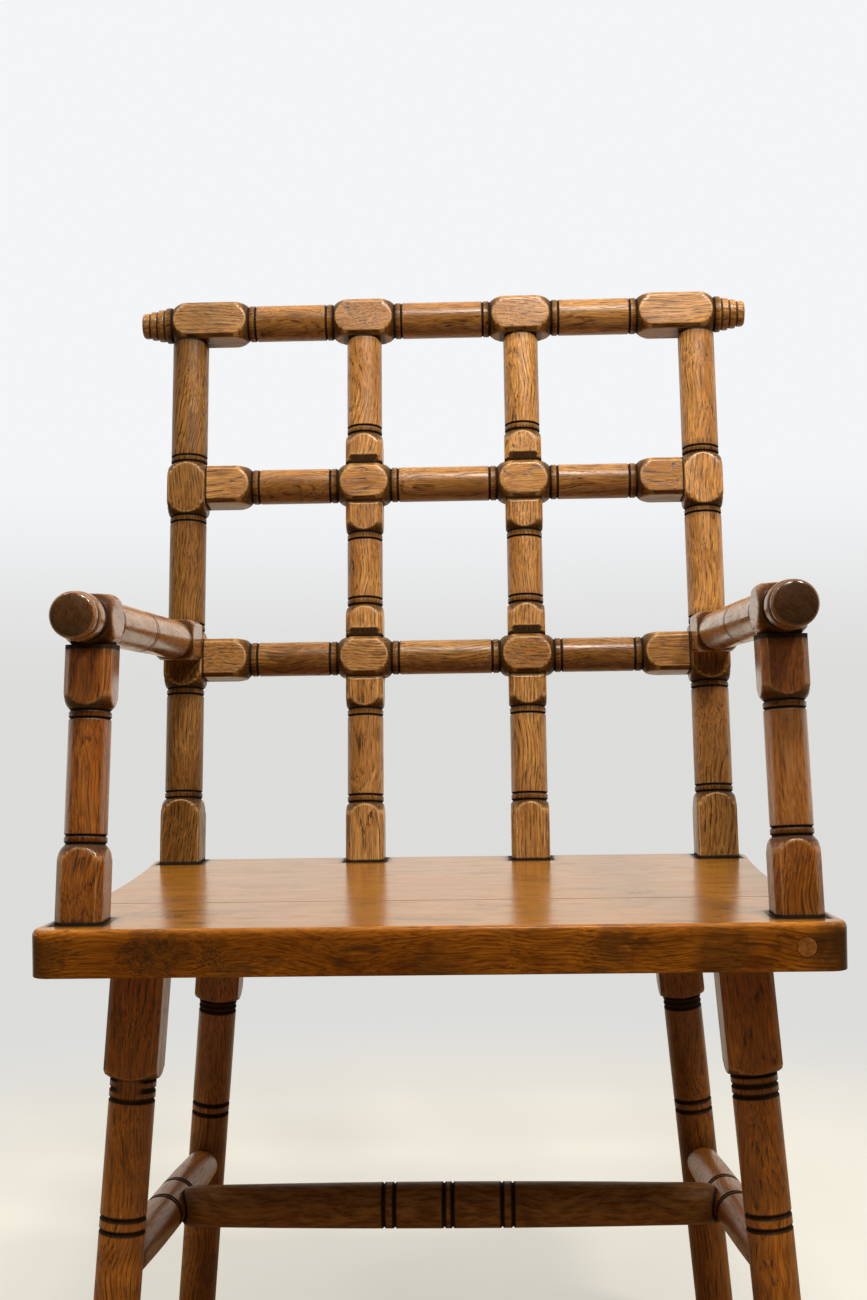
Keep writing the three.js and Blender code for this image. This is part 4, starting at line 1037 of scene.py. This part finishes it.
def oak(name, tones, gloss=0.3, specular=0.3, relief=0.4, swell=0.12, wave_stretch=0.35, uneven=0.1,
        stain=0.5, pore_depth=0.85, pore_scale=1.0, polish=None, end_tones=END_GRAIN, knots=(), stains_and_shade=()):
    """Waxed ring-porous oak, with rings round the tree's pith and pores along it.

    Noise mostly lies between 0.3 and 0.7, and each ramp runs from where a feature starts to where it
    is full. Places in the tree are in millimetres, and knots and stains on the chair in metres.
    """
    light, middle, dark, worn_and_sheen = tones
    s = Shader(bpy.data.materials.new(name))
    place = s.attribute("tree", "Vector")
    bend = s.drift(s.vectors("MULTIPLY", place, (0.7, 0.5, 0.5)), 0.016, 1)
    place = s.vectors("ADD", place, s.vectors("MULTIPLY", bend, (0, 30, 30)))
    knotty = stain_and_shade = 0.0
    if knots or stains_and_shade:
        on_chair = s.node("TexCoord", {}).outputs["Object"]
        swirl = s.drift(on_chair, 90, 3)
        ragged = s.vectors("ADD", s.vectors("MULTIPLY", swirl, (0.035, 0.035, 0.02)), on_chair)
        knotty = spots(s, ragged, [(*knot, 1.0) for knot in knots], 0.2)
        stain_and_shade = spots(s, ragged, stains_and_shade, 0.4)
        place = s.vectors("ADD", place, s.vectors("MULTIPLY", swirl, s.times(knotty, 26)))

    def along_grain(stretch, scale, detail=2, roughness=0.5):
        """Noise that is drawn out along the grain."""
        return s.noise(s.vectors("MULTIPLY", place, (stretch, 1, 1)), scale, detail, roughness)

    # Growth rings, fibres and pores
    radius = s.vectors("LENGTH", s.vectors("MULTIPLY", place, (0, 1, 1)), output="Value")
    bent = s.math("MULTIPLY_ADD", along_grain(0.12, 0.03, 3), 16, radius)
    early = s.ramp(s.math("FRACT", s.math("DIVIDE", bent, RING_WIDTH)), 0, 0.55, 1, 0)
    fibre = along_grain(0.03, 0.9, 3, 0.65)
    long_pores = s.ramp(along_grain(0.065, 0.5 * pore_scale, 2, 0.55), 0.52, 0.59)
    short_pores = s.ramp(along_grain(0.12, 1.1 * pore_scale, 1), 0.53, 0.62)
    pores = s.most(long_pores, s.times(short_pores, 0.75))
    pores = s.times(pores, s.ramp(early, 0, 1, 0.25, 1), clamp=True)
    tone = s.mix(s.ramp(along_grain(0.25, 0.03), 0.32, 0.68), middle, light)
    tone = s.mix(s.times(early, 0.8), tone, middle)
    tone = s.mix(s.ramp(fibre, 0.36, 0.66, 0, 0.75), tone, dark)

    # Stains, polish and knots
    tone = s.mix(s.ramp(along_grain(0.45, 0.034, 4, 0.65), 0.54, 0.68, 0, stain), tone, dark)
    if polish:
        streaks = s.ramp(along_grain(0.04, 0.12), 0.3, 0.7, 0.35, 0.8)
        tone = s.mix(s.times(s.attribute("polish"), streaks), tone, polish)
        scuffs = s.ramp(along_grain(0.2, 0.075, 4, 0.7), 0.55, 0.66, 0, 0.6)
        tone = s.mix(scuffs, tone, KNOT_TONE)
    knot_dark = s.times(knotty, s.ramp(s.noise(place, 0.3, 3, 0.7), 0.42, 0.58, 0.15, 1))
    tone = s.mix(s.most(knot_dark, stain_and_shade), tone, KNOT_TONE)
    tone = s.mix(s.times(pores, pore_depth), tone, tuple(channel * 0.3 for channel in dark))
    end_grain = s.ramp(s.attribute("end"), 0.45, 0.95, 0, 0.8)
    tone = s.mix(end_grain, tone, s.mix(s.ramp(s.noise(place, 0.16, 3, 0.6), 0.35, 0.65), *end_tones))

    # The old finish: darkened, rubbed and waxed, with painted shade among the dark marks and a painted sheen
    # among the rubbed ones
    breakup = along_grain(0.2, 0.25, 3, 0.65)
    dim = s.attribute("dim")
    # dim holds the old finish's darkening and painted shade
    tone = s.mix(s.times(dim, s.ramp(breakup, 0.25, 0.6, 0.8, 1)), tone, GLAZE_AND_SHADE_TONE, "MULTIPLY")
    # worn edges, rubbing and the right support's painted sheen pale the tone
    tone = s.mix(s.times(s.attribute("wear"), s.ramp(breakup, 0.32, 0.66, 0.12, 0.56)), tone, worn_and_sheen)
    # black marks: groove wax, and painted contact and bevel shade
    wax_and_shade_mask = s.attribute("wax")
    tone = s.mix(s.times(wax_and_shade_mask, s.ramp(breakup, 0.2, 0.5, 0.8, 1)), tone, WAX_AND_SHADE_TONE)

    # Gloss and relief
    rough = s.ramp(along_grain(0.3, 0.06, 3), 0.3, 0.7, gloss - uneven / 3, gloss + uneven)
    rough = s.math("MULTIPLY_ADD", pores, uneven, rough)
    rough = s.math("MULTIPLY_ADD", wax_and_shade_mask, 0.35, rough)
    height = s.math("MULTIPLY_ADD", pores, -0.3, s.times(fibre, 0.1))
    height = s.math("MULTIPLY_ADD", along_grain(wave_stretch, 0.05, 1), swell, height)
    bump = s.node("Bump", {"Height": height, "Strength": relief, "Distance": 0.0006}).outputs[0]
    shader = s.node("BsdfPrincipled", {"Base Color": tone, "Roughness": rough, "Normal": bump,
                                       "Specular IOR Level": specular})
    dull = s.most(wax_and_shade_mask, s.times(end_grain, 0.9), s.times(dim, 0.8))
    if polish:
        marked = s.most(s.times(scuffs, 0.7), knot_dark, stain_and_shade)
        dull = s.most(dull, s.ramp(s.attribute("polish"), 0, 0.6, 0.75, 0), s.times(marked, 0.7))
    s.tree.links.new(s.ramp(dull, 0, 1, specular, 0.03), shader.inputs["Specular IOR Level"])
    s.node("OutputMaterial", {"Surface": shader.outputs[0]})
    return s.owner


def stage_material():
    """A pale floor that keeps its shadow, and fades to the plain wall colour far from the chair."""
    s = Shader(bpy.data.materials.new("pale_floor"))
    place = s.node("TexCoord", {}).outputs["Object"]
    away = s.vectors("LENGTH", place, output="Value")
    path = s.node("LightPath", {}).outputs
    seen, gloss = path["Is Camera Ray"], path["Is Glossy Ray"]
    mottled = s.mix(s.ramp(s.noise(place, 3, 3), 0.3, 0.7), *FLOOR_TONES)
    diffuse = s.node("BsdfPrincipled", {"Base Color": s.mix(seen, FLOOR_BOUNCE, mottled), "Roughness": 0.6,
                                        "Specular IOR Level": 0.2}).outputs[0]
    wall = s.node("Emission", {"Color": s.mix(gloss, WALL_LOW, WARM_WALL_LOW), "Strength": 1}).outputs[0]
    glow = s.node("Emission", {"Color": FLOOR_GLOW, "Strength": 1}).outputs[0]
    floor = s.node("MixShader", {0: s.times(seen, FLOOR_GLOW_SHARE), 1: diffuse, 2: glow}).outputs[0]
    far_behind = s.ramp(s.node("SeparateXYZ", {0: place}).outputs["Y"], 0.5, 1)
    share = s.most(s.times(s.ramp(away, 0.75, 1.6), seen), s.times(far_behind, gloss))
    mixed = s.node("MixShader", {0: share, 1: floor, 2: wall}).outputs[0]
    s.node("OutputMaterial", {"Surface": mixed})
    return s.owner


def make_world():
    """Pale light from above. Gloss sees the bright wall behind the chair and a dim room before it."""
    world = bpy.data.worlds.new("pale_room")
    bpy.context.scene.world = world
    s = Shader(world)
    parts = s.node("SeparateXYZ", {0: s.node("TexCoord", {}).outputs["Generated"]}).outputs
    depth, height = parts["Y"], parts["Z"]
    wall = s.mix(s.ramp(height, -0.02, 0.12), WALL_LOW, WALL_HIGH)
    room = s.mix(s.ramp(height, 0.1, 0.8), ROOM_LOW, ROOM_CEILING)
    gloss = s.mix(s.ramp(depth, -0.25, 0.35), room, WARM_WALL)
    ambient = s.mix(s.ramp(depth, 0, 0.8), AMBIENT_LOW, AMBIENT_BACK)
    ambient = s.mix(s.ramp(height, 0.2, 1), ambient, AMBIENT_HIGH)
    path = s.node("LightPath", {}).outputs
    light = s.mix(path["Is Glossy Ray"], ambient, gloss)
    shown = s.mix(path["Is Camera Ray"], light, wall)
    shown = s.node("Background", {"Color": shown, "Strength": 1}).outputs[0]
    s.node("OutputWorld", {"Surface": shown})


def make_floor():
    mesh = bpy.data.meshes.new("floor")
    turns = np.linspace(0, 2 * math.pi, FLOOR_SIDES + 1)[:-1]
    rim = [(FLOOR_RADIUS * math.cos(a), FLOOR_RADIUS * math.sin(a), 0) for a in turns]
    mesh.from_pydata(rim, [], [tuple(range(FLOOR_SIDES))])
    mesh.materials.append(stage_material())
    floor = add_object("floor", mesh)


def make_lamp(name, place, power):
    data = bpy.data.lights.new(name, "AREA")
    data.shape = "DISK"
    data.size = LAMP_SIZE
    data.energy = power
    data.color = LAMP_COLOUR
    lamp = add_object(name, data)
    lamp.location = place
    lamp.rotation_mode = "QUATERNION"
    lamp.rotation_quaternion = (Vector(LAMP_TARGET) - Vector(place)).to_track_quat("-Z", "Y")


def make_camera():
    data = bpy.data.cameras.new("camera")
    data.sensor_width = SENSOR_WIDTH
    data.lens = SENSOR_WIDTH * FOCAL_PIXELS / IMAGE_LONG_SIDE
    camera = add_object("camera", data)
    place = (Vector(CAMERA_PLACE) - Vector((0, OVERALL_DEPTH / 2, 0))) * MM
    turn = Matrix.Rotation(CAMERA_YAW, 4, "Z") @ Matrix.Rotation(math.pi / 2 + CAMERA_PITCH, 4, "X")
    camera.matrix_world = Matrix.Translation(place) @ turn @ Matrix.Rotation(CAMERA_ROLL, 4, "Z")
    bpy.context.scene.camera = camera


# Knots have a place and a reach, and stains a place, a reach and a strength. The seat's stain at its front
# right corner is painted shadow.
SEAT_KNOTS = (
    (-0.213, -0.262, 0.418, 0.02), (-0.195, -0.262, 0.43, 0.013), (-0.196, -0.262, 0.414, 0.012),
    (-0.16, -0.262, 0.42, 0.017), (-0.075, -0.19, 0.44, 0.012), (0.16, -0.1, 0.44, 0.014),
    (-0.2, -0.2, 0.44, 0.012), (0.215, -0.19, 0.44, 0.012), (0.235, -0.205, 0.44, 0.01))
SEAT_STAINS_AND_SHADE = (
    (-0.198, -0.262, 0.424, 0.03, 0.4), (-0.15, -0.262, 0.41, 0.02, 0.4),
    (0.0, -0.262, 0.405, 0.03, 0.45), (-0.285, -0.262, 0.42, 0.022, 0.6),
    (0.125, -0.262, 0.425, 0.022, 0.55), (0.205, -0.262, 0.42, 0.028, 0.5),
    # the first stain here, at the seat's front right corner, is painted shadow
    (0.295, -0.26, 0.42, 0.036, 0.9), (0.2, -0.2, 0.44, 0.05, 0.3), (-0.225, -0.185, 0.44, 0.03, 0.3))
BACK_KNOTS = (
    (-0.094, 0.225, 0.982, 0.013), (-0.08, 0.225, 0.972, 0.01), (-0.178, 0.225, 0.962, 0.008),
    (0.05, 0.21, 0.972, 0.01))
BACK_STAINS = ((-0.26, 0.22, 0.975, 0.06, 0.35), (-0.09, 0.22, 0.975, 0.03, 0.2))

# Each finish starts with the wood's light, middle and dark tones and its tone where it is rubbed, which on
# the right support also paints a sheen.
FINISHES = {
    "seat_oak": dict(
        tones=((0.40, 0.135, 0.010), (0.27, 0.078, 0.004), (0.10, 0.025, 0.002), (0.42, 0.17, 0.03)),
        gloss=0.2, specular=0.64, relief=0.03, swell=0.03, wave_stretch=0.06, uneven=0.03, stain=0.8,
        pore_depth=0.5, polish=(0.265, 0.113, 0.011), knots=SEAT_KNOTS, stains_and_shade=SEAT_STAINS_AND_SHADE),
    "back_oak": dict(
        tones=((0.65, 0.325, 0.09), (0.44, 0.19, 0.042), (0.15, 0.054, 0.012), (0.70, 0.43, 0.19)),
        gloss=0.27, specular=0.5, pore_depth=0.95, pore_scale=1.45, knots=BACK_KNOTS, stains_and_shade=BACK_STAINS),
    "arm_oak": dict(
        tones=((0.38, 0.125, 0.015), (0.26, 0.077, 0.008), (0.10, 0.029, 0.005), (0.50, 0.27, 0.10)),
        gloss=0.17, specular=1.0, relief=0.07, swell=0.03),
    "leg_oak": dict(
        tones=((0.43, 0.138, 0.008), (0.285, 0.081, 0.004), (0.10, 0.026, 0.002), (0.38, 0.17, 0.05)),
        specular=0.4),
    "plug_oak": dict(
        tones=((0.42, 0.15, 0.02), (0.34, 0.115, 0.015), (0.22, 0.07, 0.01), (0.46, 0.20, 0.05)),
        stain=0.2, end_tones=((0.21, 0.086, 0.021), (0.11, 0.041, 0.009))),
}
materials = {slot: oak(slot, **finish) for slot, finish in FINISHES.items()}

seat_board("seat_front_board", 0, SEAM_SETBACK - FIT_GAP / 2)
seat_board("seat_back_board", SEAM_SETBACK + FIT_GAP / 2, SEAT_DEPTH)
seat_plug()
crest_rail()
lattice_rail("middle_rail", MIDDLE_RISE, 17.2, 0.05)
lattice_rail("lower_rail", LOWER_RISE, 16.6, 0.36)
for side, sign in (("left", -1), ("right", 1)):
    back_post(side, sign)
    for upright in UPRIGHTS:
        short_upright(side, sign, *upright)
    arm(side, sign)
    arm_support(side, sign)
    turned_leg(f"{side}_front_leg", FRONT_LEG, sign)
    turned_leg(f"{side}_back_leg", BACK_LEG, sign)
    side_stretcher(side, sign)
cross_stretcher()

make_floor()
make_world()
for lamp in LAMPS:
    make_lamp(*lamp)
make_camera()
bpy.context.scene.view_settings.view_transform = "Standard"
